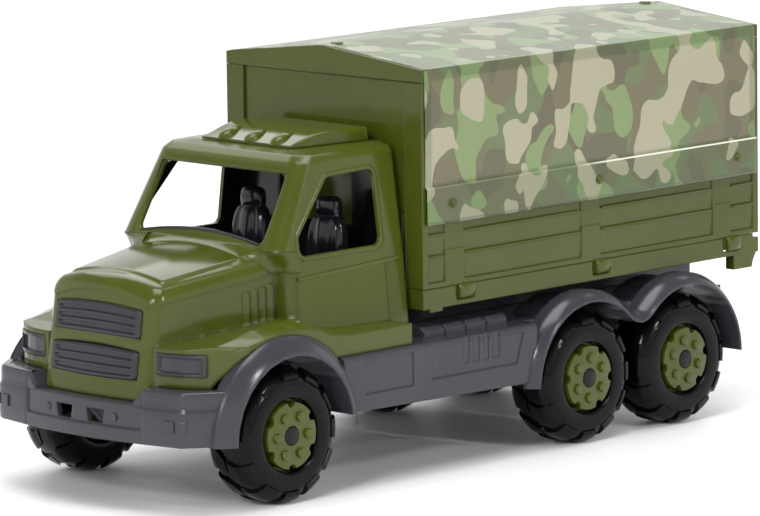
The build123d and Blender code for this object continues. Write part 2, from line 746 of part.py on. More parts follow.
def cab_shell():
    body = cabin_solid(0) + hood_solid(0) + both_sides(fender_solid(0)) + hood_panel()
    for piece in louvres():
        body += both_sides(piece)
    body += both_sides(door())
    body += brow()
    body -= cabin_solid(cab_wall)
    # under the hood and in the sills the moulding is hollow and open below
    room_x = cowl_x + cab_wall
    room_z = hood_front_z - hood_crown - 2 * cab_wall
    body -= upward([(room_x, hood_rear_y - 3 * cab_wall), (hood_nose_x - 8 * cab_wall, hood_front_y - 2 * cab_wall),
                    (hood_nose_x - 8 * cab_wall, -hood_front_y + 2 * cab_wall),
                    (room_x, -hood_rear_y + 3 * cab_wall)], 0, room_z)
    sill_room = block(sill_rear_x + cab_wall, axle_x_front - arch_root_r, cab_belt_y, fender_y - cab_wall, 0,
                      sill_z - cab_wall)
    body -= both_sides(sill_room)
    # the fenders end on the bumper, the sills on the skirts, the nose on the bumper's middle
    body -= block(0, reach * 2, -reach, reach, 0, bumper_mid_z + seat_gap)
    body -= block(0, reach * 2, -reach, reach, 0, bumper_side_z + seat_gap) - bumper_middle(seat_gap)
    body -= block(0, bumper_rear_x + seat_gap, -reach, reach, 0, cab_base_z)
    arch = arch_block([axle_x_front], arch_root_r + seat_gap, 0, housing_in_y - seat_gap, reach)
    body -= both_sides(arch)
    # windscreen, side windows, rear window
    screen = make_face(
        Polyline([(0, screen_low_y, screen_low_z), (0, screen_high_y, screen_high_z),
                  (0, -screen_high_y, screen_high_z), (0, -screen_low_y, screen_low_z)])
        + ThreePointArc((0, -screen_low_y, screen_low_z), (0, 0, screen_low_z + screen_arch),
                        (0, screen_low_y, screen_low_z)))
    body -= Pos(screen_top_x - 2 * cab_roof_edge, 0, 0) * extrude(screen, reach, dir=(1, 0, 0))
    body -= across([(window_rear_x, window_low_z), (window_front_x, window_low_z), (window_front_x, window_pillar_z),
                    (window_pillar_x, window_high_z - 1), (window_rear_x, window_high_z)], -reach, reach)
    body -= block(cab_rear_x - cut_over, cab_rear_x + cab_wall + cut_over, -back_window_y, back_window_y,
                  back_window_low_z, window_high_z)
    # pockets for the inserts
    for low, high in ((upper_grille_low_z, upper_grille_high_z), (lower_grille_low_z, lower_grille_high_z)):
        body -= grille_block(low, high, fit_clear, -2, grille_depth + fit_clear)
    return body - both_sides(lamp_block(fit_clear, -2, lamp_depth + fit_clear))


# ---------------------------------------------------------------- inserts
def grille_block(low, high, clear, front, depth):
    """A slab that follows the nose, arched along its top and bottom."""
    half = grille_y + clear
    arch = grille_arch
    outline = make_face(
        ThreePointArc((0, -half, low - clear), (0, 0, low - clear + arch), (0, half, low - clear))
        + Line((0, half, low - clear), (0, half, high + clear))
        + ThreePointArc((0, half, high + clear), (0, 0, high + clear + arch), (0, -half, high + clear))
        + Line((0, -half, high + clear), (0, -half, low - clear)))
    band = Pos(axle_x_front, 0, 0) * extrude(outline, reach, dir=(1, 0, 0))
    return (hood_solid(front) - hood_solid(depth)) & band


def grille(low, high):
    body = grille_block(low, high, 0, -grille_proud, grille_depth)
    pitch = (high - low - 2 * grille_gap) / slot_count
    half_h = (pitch - grille_gap) / 2
    half_y = grille_y - grille_rim
    floor = hood_solid(slot_depth)
    for i in range(slot_count):
        z = low + grille_gap + pitch * (i + 0.5)
        # the slot's ends are tapered and it bows with the insert
        top = [(half_y, z), (half_y - half_h, z + half_h), (0, z + half_h + grille_arch),
               (-half_y + half_h, z + half_h), (-half_y, z)]
        under = [(-half_y + half_h, z - half_h), (0, z - half_h + grille_arch), (half_y - half_h, z - half_h)]
        body -= along(top + under, axle_x_front, reach * 2) - floor
    return body


def lamp_block(clear, front, depth):
    """A slab that follows the left fender's corner."""
    band = block(axle_x_front, reach * 2, lamp_inner_y - clear, lamp_outer_y + clear, lamp_low_z - clear,
                 lamp_high_z + clear)
    return (fender_solid(front) - fender_solid(depth)) & band


def lamp():
    """Left head lamp: a rim round a recessed lens."""
    lens = (lamp_block(-lamp_rim, -2, lamp_recess))
    return lamp_block(0, -grille_proud, lamp_depth) - lens


write("cab_shell", cab_shell(), green)
write("grille_upper", grille(upper_grille_low_z, upper_grille_high_z), grey)
write("grille_lower", grille(lower_grille_low_z, lower_grille_high_z), grey)
left_lamp = lamp()
write("lamp_left", left_lamp, grey)
write("lamp_right", mirrored(left_lamp), grey)


def cab_interior():
    """Floor and dashboard in one dark moulding."""
    half = cab_belt_y - cab_wall - 2 * seat_gap
    x0 = cab_rear_x + cab_wall + seat_gap
    x1 = cowl_x - cab_wall - 2 * seat_gap
    top_z = hood_rear_z - cab_wall - 2 * seat_gap
    floor = block(x0, x1, -half, half, cab_base_z, cab_base_z + floor_t)
    dash = across([(x1, cab_base_z + 1), (x1, top_z), (x1 - dash_w, top_z),
                   (x1 - dash_w - 2, top_z - dash_drop), (x1 - dash_w * 0.7, cab_base_z + 1)],
                  -half + cab_wall, half - cab_wall)
    wheel_well = arch_block([axle_x_front], arch_root_r + 2 * seat_gap, 0, housing_in_y - 2 * seat_gap, reach)
    return (floor + dash & cabin_solid(cab_wall + seat_gap)) - both_sides(wheel_well)


def seat():
    """Left bucket seat: cushion, a waisted back with a headrest, and two bolsters."""
    base_z = cab_base_z + floor_t + seat_gap
    x0 = seat_rear_x
    inner = seat_half - seat_bolster
    side = across([(x0, base_z), (x0 + 2, seat_top_z), (x0 + headrest_t, seat_top_z),
                   (x0 + headrest_t + 2, seat_shoulder_z), (seat_side_x - 4, seat_shoulder_z - 2 * seat_bolster),
                   (seat_side_x, seat_side_z), (seat_front_x, seat_cushion_z), (seat_front_x - 4, base_z)], 0, reach)
    half = [(seat_half, base_z), (seat_half, seat_shoulder_z - 3 * seat_bolster),
            (seat_half - 1, seat_shoulder_z - seat_bolster), (headrest_half, seat_shoulder_z - 1),
            (headrest_half - 1, seat_shoulder_z + 1), (headrest_half, seat_shoulder_z + 3),
            (headrest_half - 1, seat_top_z - 2), (headrest_half - 3, seat_top_z)]
    front = along([(seat_y + y, z) for y, z in half] + [(seat_y - y, z) for y, z in reversed(half)],
                  x0 - cut_over, seat_front_x + cut_over)
    hollow = across([(x0 + seat_back_t, seat_shoulder_z + 1), (x0 + seat_back_t + 3, seat_cushion_z),
                     (seat_front_x + cut_over, seat_cushion_z), (seat_front_x + cut_over, seat_shoulder_z + 1)],
                    seat_y - inner, seat_y + inner)
    return (side & front) - hollow


def fairing():
    """Roof scoop, open at the rear, with three ribs running back from its bumps."""
    low = cab_roof_z + seat_gap
    high = low + fairing_rise

    def shell(inset):
        plan = upward([(fairing_front_x - 3 * inset, fairing_front_y - inset),
                       (fairing_rear_x - inset, fairing_rear_y - inset),
                       (fairing_rear_x - inset, -fairing_rear_y + inset),
                       (fairing_front_x - 3 * inset, -fairing_front_y + inset)], low - inset, high)
        side = across([(fairing_front_x, low - inset), (fairing_front_x, low + fairing_low - inset),
                       (fairing_knee_x, high - inset), (fairing_rear_x - inset, high - inset),
                       (fairing_rear_x - inset, low - inset)], -reach, reach)
        return plan & side
    body = shell(0) - shell(fairing_wall)
    for i in (-1, 0, 1):
        y = bump_pitch * i
        body += across([(fairing_front_x - 1, low + fairing_low / 2), (fairing_front_x - 3, low + fairing_low + bump_rise),
                        (fairing_knee_x + 6, high), (fairing_knee_x, high - fairing_wall / 2),
                        (fairing_front_x - 8, low + fairing_low / 2)], y - bump_half, y + bump_half)
    return body


write("cab_interior", cab_interior(), charcoal)
left_seat = seat()
write("seat_left", left_seat, charcoal)
write("seat_right", mirrored(left_seat), charcoal)
write("roof_fairing", fairing(), green)


# ---------------------------------------------------------------- load box
def clip_range(strap_x):
    """Front and rear of the clip under a strap."""
    centre = strap_x - clip_aft
    return centre + clip_w / 2, centre - clip_w / 2


def platform():
    """Floor of the load box with its side rails, end blocks, clip notches and pins."""
    outer = block(box_rear_x, box_front_x, -box_y, box_y, platform_low_z, platform_floor_z)
    body = outer - block(box_rear_x + platform_wall, box_front_x - platform_wall, -box_y + platform_wall,
                         box_y - platform_wall, platform_low_z - cut_over, platform_floor_z - platform_wall)
    kerb_z = board_low_z - seat_gap
    rear_block = across([(box_rear_x + rear_block_in, platform_low_z + 1), (box_rear_x + rear_block_in, rear_block_z),
                         (box_rear_x + rear_block_out + 1, rear_block_z), (box_rear_x + rear_block_out,
                         rear_block_z + 4), (box_rear_x, platform_low_z + 4)], box_y - rail_block_t, box_y)
    front_block = block(front_block_x - front_block_w, front_block_x, box_y - rail_block_t, box_y, front_block_z,
                        platform_floor_z)
    rib = block(box_rear_x + 1, box_front_x - 1, rail_y - rail_t, rail_y + rail_t, platform_low_z,
                platform_floor_z - 1)
    kerb = block(box_rear_x + beam_t + seat_gap, box_front_x, box_y - rail_kerb, box_y, platform_floor_z - 1, kerb_z)
    for piece in (rear_block, front_block, rib, kerb):
        body += both_sides(piece)
    body += block(box_front_x - beam_t, box_front_x, -box_y + 1, box_y - 1, platform_floor_z - 1, kerb_z)
    for strap_x in strap_table:
        front, rear = clip_range(strap_x)
        notch = block(front + clip_notch, rear - clip_notch, box_y - rail_kerb - cut_over, box_y + cut_over,
                      clip_low_z - clip_notch, board_low_z)
        body -= both_sides(notch)
        pin = along(octagon(pin_r, box_y - pin_in, pin_z), rear - 2 * clip_notch, front + 2 * clip_notch)
        body += both_sides(pin)
    for y in (-tail_clip_y, tail_clip_y):
        half = tail_clip_w / 2 + clip_notch
        body -= block(box_rear_x - cut_over, box_rear_x + 2.5 * pin_in, y - half, y + half, platform_low_z - cut_over,
                      board_low_z)
        body += cross_rod(pin_r, box_rear_x + pin_in, tail_pin_z, y - half - 1, y + half + 1)
    return body


def side_wall():
    """Left side of the load box: lipped planks, three straps and the clips under them."""
    outline = [
        (board_in_y, board_low_z), (box_y, board_low_z), (box_y, board_lip_z), (board_face_y, board_lip_z),
        (board_ledge_y, board_ledge_low_z), (board_face_y, board_ledge_low_z), (board_ledge_y, board_ledge_high_z),
        (board_face_y, board_ledge_high_z), (board_face_y, board_top_z), (board_in_y, board_top_z)]
    body = along(outline, box_rear_x, box_front_x)
    for strap_x in strap_table:
        x0 = strap_x - strap_w / 2
        x1 = strap_x + strap_w / 2
        body += block(x0, x1, board_in_y + 1, box_y, board_low_z, strap_step_z)
        body += block(x0, x1, board_in_y + 1, box_y - strap_step, strap_step_z, board_top_z)
        front, rear = clip_range(strap_x)
        clip = block(rear, front, box_y - 2 * pin_in, box_y - strap_step, clip_low_z, board_low_z + 1)
        clip -= along(octagon(pin_r + fit_clear, box_y - pin_in, pin_z), rear - cut_over, front + cut_over)
        clip -= block(rear - cut_over, front + cut_over, box_y - rail_kerb, box_y - pin_in, pin_z - pin_r,
                      pin_z + pin_r)
        body += clip
    return body


def box_body():
    """Tub of the load box: both sides, the front wall's foot and the posts at the four corners."""
    body = side_wall()
    body += mirrored(body)
    post_top_z = beam_low_z - seat_gap
    front_post = block(box_front_x - beam_t, box_front_x, post_front_y, box_y, board_low_z, post_top_z)
    rear_post = block(box_rear_x, box_rear_x + beam_t, post_rear_y, box_y, board_low_z, post_top_z)
    flange = block(box_front_x - panel_back - panel_t, box_front_x - panel_back + flange_proud, flange_in_y,
                   post_front_y + 1, board_low_z, flange_top_z)
    for piece in (front_post, rear_post, flange):
        body += both_sides(piece)
    body += block(box_front_x - beam_t, box_front_x - panel_back, -post_front_y - 1, post_front_y + 1, board_low_z,
                  board_lip_z)
    return body


def gable():
    """End beam under the cover's roof, at the front."""
    return along([(box_y, beam_low_z), (box_y, eave_z), (0, ridge_z), (-box_y, eave_z), (-box_y, beam_low_z)],
                 box_front_x - beam_t, box_front_x)


def front_panel():
    """Panel between the front posts, set back from their faces and cut round the flanges."""
    half = post_front_y - fit_clear
    narrow = flange_in_y - fit_clear
    right = [(half, flange_top_z + fit_clear), (half, beam_low_z - seat_gap)]
    low = board_lip_z + fit_clear
    outline = [(narrow, low), (narrow, flange_top_z + fit_clear), *right]
    return along(outline + [(-y, z) for y, z in reversed(outline)], box_front_x - panel_back - panel_t,
                 box_front_x - panel_back)


def tailboard():
    """Drop tailboard: a ledged panel with two rings that turn on the platform's pins."""
    x0 = box_rear_x
    half = post_rear_y - tail_gap
    low_z = board_low_z + tail_gap
    body = block(x0 + tail_face_in, x0 + tail_face_in + tail_t, -half, half, low_z, board_top_z)
    ledge_table = [(low_z, board_lip_z), (board_ledge_low_z - tail_ledge_h, board_ledge_low_z),
                   (board_ledge_high_z - tail_ledge_h, board_ledge_high_z), (board_top_z - 4, board_top_z)]  # from, to
    for low, high in ledge_table:
        body += block(x0 + tail_ledge_in, x0 + tail_face_in + 1, -half, half, low, high)
    pin_x = x0 + pin_in
    for y in (-tail_clip_y, tail_clip_y):
        y0 = y - tail_clip_w / 2
        y1 = y + tail_clip_w / 2
        body += across(octagon(tail_ring_r, pin_x, tail_pin_z), y0, y1)
        body += block(x0 + tail_ledge_in, x0 + tail_face_in + tail_t - 0.6, y0, y1, tail_pin_z + 1, low_z + 1)
        body -= cross_rod(pin_r + running_clear, pin_x, tail_pin_z, y0 - cut_over, y1 + cut_over)
    return body


def cover():
    """Film over ridge and eaves, down both sides to below the boards' tops."""
    y_in = box_y + film_clear
    y_out = y_in + film_t
    rise = (ridge_z - eave_z) / box_y * film_t
    outer = [(y_out, film_low_z), (y_out, eave_z + film_clear + film_t), (0, ridge_z + film_clear + film_t + rise),
             (-y_out, eave_z + film_clear + film_t), (-y_out, film_low_z)]
    inner = [(y_in, film_low_z), (y_in, eave_z + film_clear), (0, ridge_z + film_clear), (-y_in, eave_z + film_clear),
             (-y_in, film_low_z)]
    return along(outer + inner[::-1], box_rear_x + film_rear_in, box_front_x - film_front_in)


write("platform", platform(), green)
write("box_body", box_body(), green)
front_gable = gable()
write("gable_front", front_gable, green)
write("gable_rear", Pos(beam_t - box_length, 0, 0) * front_gable, green)
write("front_panel", front_panel(), green)
pole_x0 = box_rear_x + beam_t + film_clear
pole_x1 = box_front_x - beam_t - film_clear
left_eave = block(pole_x0, pole_x1, box_y - pole_w, box_y - running_clear, beam_low_z - seat_gap,
                  beam_low_z - seat_gap + pole_h)
write("eave_rail_left", left_eave, green)
write("eave_rail_right", mirrored(left_eave), green)
write("ridge_pole", block(pole_x0, pole_x1, -pole_w / 2, pole_w / 2, ridge_z - pole_h - 1, ridge_z - 1), green)
write("tail_board", tailboard(), green)
write("cover", cover(), print_green)
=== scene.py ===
import json
from math import acos, cos, exp, hypot, pi, radians, sin, sqrt

import bpy
from mathutils import Matrix, Vector


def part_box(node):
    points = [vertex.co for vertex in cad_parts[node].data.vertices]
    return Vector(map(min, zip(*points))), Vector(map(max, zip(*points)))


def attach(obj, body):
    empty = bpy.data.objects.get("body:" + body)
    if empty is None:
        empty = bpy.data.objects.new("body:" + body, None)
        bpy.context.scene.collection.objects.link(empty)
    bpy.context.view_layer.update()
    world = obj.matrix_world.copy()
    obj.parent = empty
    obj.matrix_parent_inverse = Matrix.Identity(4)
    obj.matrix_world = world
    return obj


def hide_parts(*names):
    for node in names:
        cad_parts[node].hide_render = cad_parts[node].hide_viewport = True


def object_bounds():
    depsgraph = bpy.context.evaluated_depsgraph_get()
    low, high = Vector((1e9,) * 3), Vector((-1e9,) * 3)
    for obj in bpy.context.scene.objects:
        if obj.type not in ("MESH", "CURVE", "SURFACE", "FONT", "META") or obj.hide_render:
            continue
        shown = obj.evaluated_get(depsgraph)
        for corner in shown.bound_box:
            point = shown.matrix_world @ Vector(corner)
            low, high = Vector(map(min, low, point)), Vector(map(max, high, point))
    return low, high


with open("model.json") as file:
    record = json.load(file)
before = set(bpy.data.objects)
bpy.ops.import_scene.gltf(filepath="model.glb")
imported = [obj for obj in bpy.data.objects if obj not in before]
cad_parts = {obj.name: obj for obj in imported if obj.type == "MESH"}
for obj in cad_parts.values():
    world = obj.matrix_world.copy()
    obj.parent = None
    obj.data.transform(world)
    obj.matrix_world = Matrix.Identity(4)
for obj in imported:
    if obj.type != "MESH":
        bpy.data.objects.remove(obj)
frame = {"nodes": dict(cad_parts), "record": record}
cad_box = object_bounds()

MM = 0.001
record = frame["record"]
joint_place = {joint["child"]: Vector(joint["pos_m"]) for joint in record["behaviour"]["joints"]}


def mm(x, y, z):
    """A point that is given in millimetres."""
    return Vector((x, y, z)) * MM


def between(start, end, share):
    """A value or place that is a share of the way from start to end."""
    return start + (end - start) * share


def smooth_step(low, high, value):
    """0 up to low, 1 from high on and a smooth climb between."""
    share = min(max((value - low) / (high - low), 0.0), 1.0)
    return share * share * (3 - 2 * share)


# ---------------------------------------------------------------- camera
camera_place = (2.64978, 2.61699, 0.69118)
camera_azimuth = 134.665      # degrees round the truck, from its right side by way of its front
camera_height = 8.736         # degrees above the level
camera_roll = -0.822          # degrees
focal_share = 5972.3 / 760    # focal length over the frame's width
sensor = 36.0                 # millimetres


def aim_camera():
    """Sets up the camera from its place, direction and roll."""
    a, e, roll = radians(camera_azimuth), radians(camera_height), radians(camera_roll)
    back = Vector((sin(a) * cos(e), -cos(a) * cos(e), sin(e)))
    right = (-back).cross(Vector((0, 0, 1))).normalized()
    up = right.cross(-back)
    rolled_right = cos(roll) * right + sin(roll) * up
    rolled_up = cos(roll) * up - sin(roll) * right
    data = bpy.data.cameras.new("camera")
    data.sensor_width = sensor
    data.lens = focal_share * sensor
    data.clip_end = 50
    camera = bpy.data.objects.new("camera", data)
    turn = Matrix((rolled_right, rolled_up, back)).transposed().to_4x4()
    camera.matrix_world = Matrix.Translation(camera_place) @ turn
    bpy.context.scene.collection.objects.link(camera)
    bpy.context.scene.camera = camera


aim_camera()
bpy.context.scene.view_settings.view_transform = "Standard"


# ---------------------------------------------------------------- shader maths
def linear(red, green, blue):
    """A screen colour from 0 to 255 as the linear colour that a shader takes."""
    def channel(c):
        c /= 255
        return c / 12.92 if c <= 0.04045 else ((c + 0.055) / 1.055) ** 2.4
    return (channel(red), channel(green), channel(blue), 1)


class Value:
    """A node's output that takes part in Python sums. Each sum adds a Math node."""

    def __init__(self, finish, socket):
        self.finish = finish
        self.socket = socket

    def maths(self, operation, *terms):
        return self.finish.value("ShaderNodeMath", {"operation": operation}, dict(enumerate(terms)))

    def __add__(self, other):
        return self.maths("ADD", self, other)

    def __sub__(self, other):
        return self.maths("SUBTRACT", self, other)

    def __mul__(self, other):
        return self.maths("MULTIPLY", self, other)

    def __truediv__(self, other):
        return self.maths("DIVIDE", self, other)

    def __gt__(self, other):
        return self.maths("GREATER_THAN", self, other)

    def __lt__(self, other):
        return self.maths("LESS_THAN", self, other)

    def __radd__(self, other):
        return self.maths("ADD", other, self)

    def __rsub__(self, other):
        return self.maths("SUBTRACT", other, self)

    def __rmul__(self, other):
        return self.maths("MULTIPLY", other, self)

    def fraction(self):
        return self.maths("FRACT", self)

    def size(self):
        return self.maths("ABSOLUTE", self)

    def rise(self, start, end):
        """0 below start, 1 above end and a smooth climb between."""
        return self.finish.value("ShaderNodeMapRange", {"interpolation_type": "SMOOTHSTEP"},
                                 {"Value": self, "From Min": start, "From Max": end})


class Finish:
    """A material that is being put together."""

    def __init__(self, name):
        self.material = bpy.data.materials.new(name)
        self.material.use_nodes = True
        self.tree = self.material.node_tree
        self.tree.nodes.clear()

    def node(self, kind, settings=None, sockets=None):
        made = self.tree.nodes.new(kind)
        for name, setting in (settings or {}).items():
            setattr(made, name, setting)
        for key, given in (sockets or {}).items():
            if isinstance(given, Value):
                self.tree.links.new(given.socket, made.inputs[key])
            elif hasattr(given, "is_output"):
                self.tree.links.new(given, made.inputs[key])
            else:
                made.inputs[key].default_value = given
        return made

    def value(self, kind, settings=None, sockets=None):
        return Value(self, self.node(kind, settings, sockets).outputs[0])

    def place(self):
        """Where a point is, in metres, in the truck's own frame."""
        return self.node("ShaderNodeTexCoord").outputs["Object"]

    def along(self, place):
        """The three numbers of a place or direction."""
        parts = self.node("ShaderNodeSeparateXYZ", None, {"Vector": place})
        return [Value(self, parts.outputs[i]) for i in range(3)]

    def noise(self, place, grain, detail=2.0, roughness=0.5, distortion=0.0, shift=(0, 0, 0)):
        """Soft noise whose lumps are about grain metres across."""
        moved = self.node("ShaderNodeVectorMath", {"operation": "ADD"}, {0: place, 1: shift})
        return self.value("ShaderNodeTexNoise", None, {
            "Vector": moved.outputs[0], "Scale": 1 / grain, "Detail": detail,
            "Roughness": roughness, "Distortion": distortion})

    def mix(self, share, first, second):
        """The first colour, or the second where share is 1."""
        mixed = self.node("ShaderNodeMix", {"data_type": "RGBA"}, {0: share, 6: first, 7: second})
        return mixed.outputs[2]

    def edges(self, radius, height, strength, distance):
        """A normal that rounds sharp edges, over a bump."""
        rounded = self.node("ShaderNodeBevel", {"samples": 4}, {"Radius": radius})
        bumped = self.node("ShaderNodeBump", None, {
            "Strength": strength, "Distance": distance, "Height": height, "Normal": rounded.outputs[0]})
        return bumped.outputs[0]

    def surface(self, **sockets):
        """Ends the material with its shader; a socket's name has _ for each space."""
        named = {name.replace("_", " "): given for name, given in sockets.items()}
        shader = self.node("ShaderNodeBsdfPrincipled", None, named)
        self.node("ShaderNodeOutputMaterial", None, {"Surface": shader.outputs[0]})
        return self.material


# ---------------------------------------------------------------- finishes
# where the cab's inner faces are painted dark: partly a charcoal lining like the seats, partly painted shade
# of the dim inside
shade_low_z = 118 * MM
shade_front_x = 158 * MM
rear_wall_x = 80 * MM         # inner faces that look forward lie behind this
ceiling_z = 188 * MM          # and those that look down lie above this


def inner_wall_shade(finish, place):
    """1 on the cab's inner faces, which are painted dark: a charcoal lining like the seats and painted shade
    of the dim inside.
    """
    x, y, z = finish.along(place)
    face = finish.along(finish.node("ShaderNodeTexCoord").outputs["Normal"])
    inward = ((y * face[1] < -0.02) + (face[0] > 0.5) * (x < rear_wall_x)
              + (face[2] < -0.5) * (z > ceiling_z))
    return (inward > 0.5) * (z > shade_low_z) * (x < shade_front_x)


def moulded_plastic(name, colour, shade, gloss, edge, shine=0.4, lining_shade=None):
    """Glossy moulded plastic: even colour with faint flow marks and edges rounded to a radius."""
    finish = Finish(name)
    place = finish.place()
    flow = finish.noise(place, 0.06, detail=1.0)
    skin = finish.noise(place, 0.012, detail=1.5)
    colour = finish.mix(flow.rise(0.35, 0.65), colour, shade)
    # inner faces, where asked, take a dark colour: a charcoal lining and painted shade of the dim inside
    if lining_shade:
        colour = finish.mix(inner_wall_shade(finish, place), colour, lining_shade)
    return finish.surface(
        Base_Color=colour,
        Roughness=gloss + 0.05 * flow,
        Specular_IOR_Level=shine,
        Normal=finish.edges(edge, skin, 0.05, 0.25 * MM))


green_tone = (linear(69, 77, 19), linear(65, 73, 17), 0.12)      # colour, shade, gloss
grey_tone = (linear(58, 55, 62), linear(54, 51, 58), 0.16)
green_plastic = moulded_plastic("green plastic", *green_tone, 1.6 * MM)
# the cab's plastic, with painted shade on its inner faces
green_body = moulded_plastic("green plastic of the cab with painted inner shade", *green_tone, 3.0 * MM,
                             lining_shade=linear(20, 20, 18))
green_fine = moulded_plastic("green plastic of small parts", *green_tone, 0.3 * MM)
grey_plastic = moulded_plastic("grey plastic", *grey_tone, 2.4 * MM)
grille_plastic = moulded_plastic("grey plastic of the grilles", linear(48, 45, 51),
                                 linear(44, 41, 47), 0.22, 0.3 * MM)
grey_fine = moulded_plastic("grey plastic of small parts", *grey_tone, 0.3 * MM)
dark_plastic = moulded_plastic("charcoal plastic", linear(26, 24, 30), linear(22, 20, 26), 0.12, 1.0 * MM)
cap_plastic = moulded_plastic("dark plastic of the caps", linear(13, 12, 13),
                              linear(10, 9, 10), 0.22, 0.3 * MM, 0.25)
tyre_plastic = moulded_plastic("black tyre plastic", linear(8, 8, 8), linear(6, 6, 6), 0.12, 0.5 * MM, 0.15)


def steel_wire():
    """Plain drawn wire."""
    finish = Finish("steel wire")
    place = finish.place()
    drawn = finish.noise(place, 0.003, detail=2)
    return finish.surface(Base_Color=linear(190, 190, 192), Metallic=1.0, Roughness=0.28 + 0.1 * drawn)


axle_steel = steel_wire()

# the printed film: each colour, the size of its patches, the noise they start at and its shift
print_ground = linear(85, 80, 53)
print_layers = [
    (linear(78, 95, 55), 0.030, 0.525, (3.1, 0.0, 0.7)),
    (linear(72, 68, 46), 0.024, 0.600, (2.6, 8.8, 3.3)),
    (linear(106, 128, 78), 0.025, 0.580, (0.2, 5.3, 1.9)),
    (linear(152, 148, 124), 0.021, 0.596, (4.4, 6.1, 0.9)),
]
print_edge = 0.004       # half width of a patch's soft edge, in noise
print_lean = 0.85        # a patch's length over its height
backing_tone = linear(84, 100, 62)
# painted light that shines through the film where nothing stands behind it
painted_backlight_tone = linear(236, 232, 196)
stitch_tone = linear(40, 44, 28)
# the painted highlight along the fold over the boards
fold_highlight_tone = linear(236, 240, 226)


def camouflage(finish, place):
    """Overlapping rounded patches in four colours over an olive ground."""
    stretched = finish.node("ShaderNodeVectorMath", {"operation": "MULTIPLY"},
                            {0: place, 1: (1.0, 1.0, print_lean)}).outputs[0]
    colour = print_ground
    for patch_colour, patch_size, share, shift in print_layers:
        patch = finish.noise(stretched, patch_size, detail=0.6, roughness=0.4, distortion=0.2, shift=shift)
        colour = finish.mix(patch.rise(share - print_edge, share + print_edge), colour, patch_colour)
    return colour


# ---------------------------------------------------------------- sizes read from the frame
cover_low, cover_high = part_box("cover")
tub_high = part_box("box_body")[1]
gable_low, gable_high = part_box("gable_front")
eave_z = gable_high.z - (gable_high.z - gable_low.z) * 0.5491    # top of the gable at its ends
ridge_z = gable_high.z
board_top_z = 176.0 * MM
fold_z = board_top_z - 0.4 * MM
film_step = 1.7 * MM          # how far the film steps out over the boards' top edge
stitch_z = cover_low.z + 1.6 * MM
stitch_pitch = 2.6 * MM


def printed_film():
    """Vinyl film with a printed pattern. Where nothing stands behind it, light shining through is painted in
    as a warmer tint.
    """
    finish = Finish("printed film")
    place = finish.place()
    x, _, z = finish.along(place)
    colour = camouflage(finish, place)
    # painted light: where nothing stands behind the film, light shining through is painted in as a warm tint;
    # elsewhere the green behind shows through
    backlit_side = (z.rise(board_top_z + 1 * MM, board_top_z + 3 * MM)
                 * x.rise(cover_low.x + 4 * MM, cover_low.x + 7 * MM)
                 * (1 - x.rise(cover_high.x - 7 * MM, cover_high.x - 4 * MM))
                 * (1 - z.rise(eave_z - 8 * MM, eave_z - 6 * MM)))
    backed = finish.mix(0.30, colour, backing_tone)
    painted_backlight = finish.mix(0.06, colour, painted_backlight_tone)
    colour = finish.mix(backlit_side, backed, painted_backlight)
    # needle holes along the lower hem
    hem = ((z - stitch_z).size() < 0.5 * MM) * ((x / stitch_pitch).fraction() < 0.5)
    colour = finish.mix(hem * 0.75, colour, stitch_tone)
    # a pale painted highlight along the fold over the boards, strongest towards the rear
    fold_highlight = ((z - fold_z).size() < 0.45 * MM) * (0.1 + 0.7 * (1 - x.rise(-120 * MM, -85 * MM)))
    colour = finish.mix(fold_highlight, colour, fold_highlight_tone)
    ripple = finish.noise(place, 0.045, detail=2)
    return finish.surface(
        Base_Color=colour, Roughness=0.27 + 0.12 * ripple, Specular_IOR_Level=0.5, Coat_Weight=0.15,
        Normal=finish.edges(0.2 * MM, ripple, 0.35, 1.5 * MM))


film = printed_film()

# ---------------------------------------------------------------- pieces
slot_of_node = {part["node"]: part["material_slot"] for part in record["subparts"]}
finish_of_slot = {"plastic_green": green_plastic, "plastic_grey": grey_plastic, "plastic_dark": dark_plastic,
                  "tyre_black": tyre_plastic, "axle_steel": axle_steel, "printed_film": film}


def dress_frame():
    """Gives each carried-over node the finish of its slot."""
    for node, thing in frame["nodes"].items():
        finish = green_body if node == "cab_shell" else finish_of_slot[slot_of_node[node]]
        thing.data.materials.clear()
        thing.data.materials.append(finish)
        for face in thing.data.polygons:
            face.material_index = 0


dress_frame()


def piece(name, points, faces, slot, body="truck", smooth=radians(35), finish=None):
    """A new piece from its points and faces, in its slot's finish or a finer one, that rides on a body."""
    mesh = bpy.data.meshes.new(name)
    mesh.from_pydata([tuple(p) for p in points], [], faces)
    mesh.validate()
    mesh.materials.append(finish or finish_of_slot[slot])
    thing = bpy.data.objects.new(name, mesh)
    bpy.context.scene.collection.objects.link(thing)
    mesh.shade_smooth()
    mesh.set_sharp_from_angle(angle=smooth)
    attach(thing, body)
    return thing


def mirror_points(shape):
    """A shape's mirror image on the truck's other side."""
    points, faces = shape
    return [Vector((p.x, -p.y, p.z)) for p in points], [tuple(reversed(face)) for face in faces]


def both_sides(name, points, faces, slot, smooth=radians(35), finish=None):
    """A piece on the truck's left and its mirror image on the right."""
    piece(f"{name}_left", points, faces, slot, "truck", smooth, finish)
    piece(f"{name}_right", *mirror_points((points, faces)), slot, "truck", smooth, finish)


def ring_strip(rows, closed_rows=False, closed_ring=True):
    """Faces between rows of equal numbers of points."""
    count = len(rows[0])
    faces = []
    spans = len(rows) if closed_rows else len(rows) - 1
    steps = count if closed_ring else count - 1
    for i in range(spans):
        j = (i + 1) % len(rows)
        for k in range(steps):
            m = (k + 1) % count
            faces.append((i * count + k, i * count + m, j * count + m, j * count + k))
    return [p for row in rows for p in row], faces


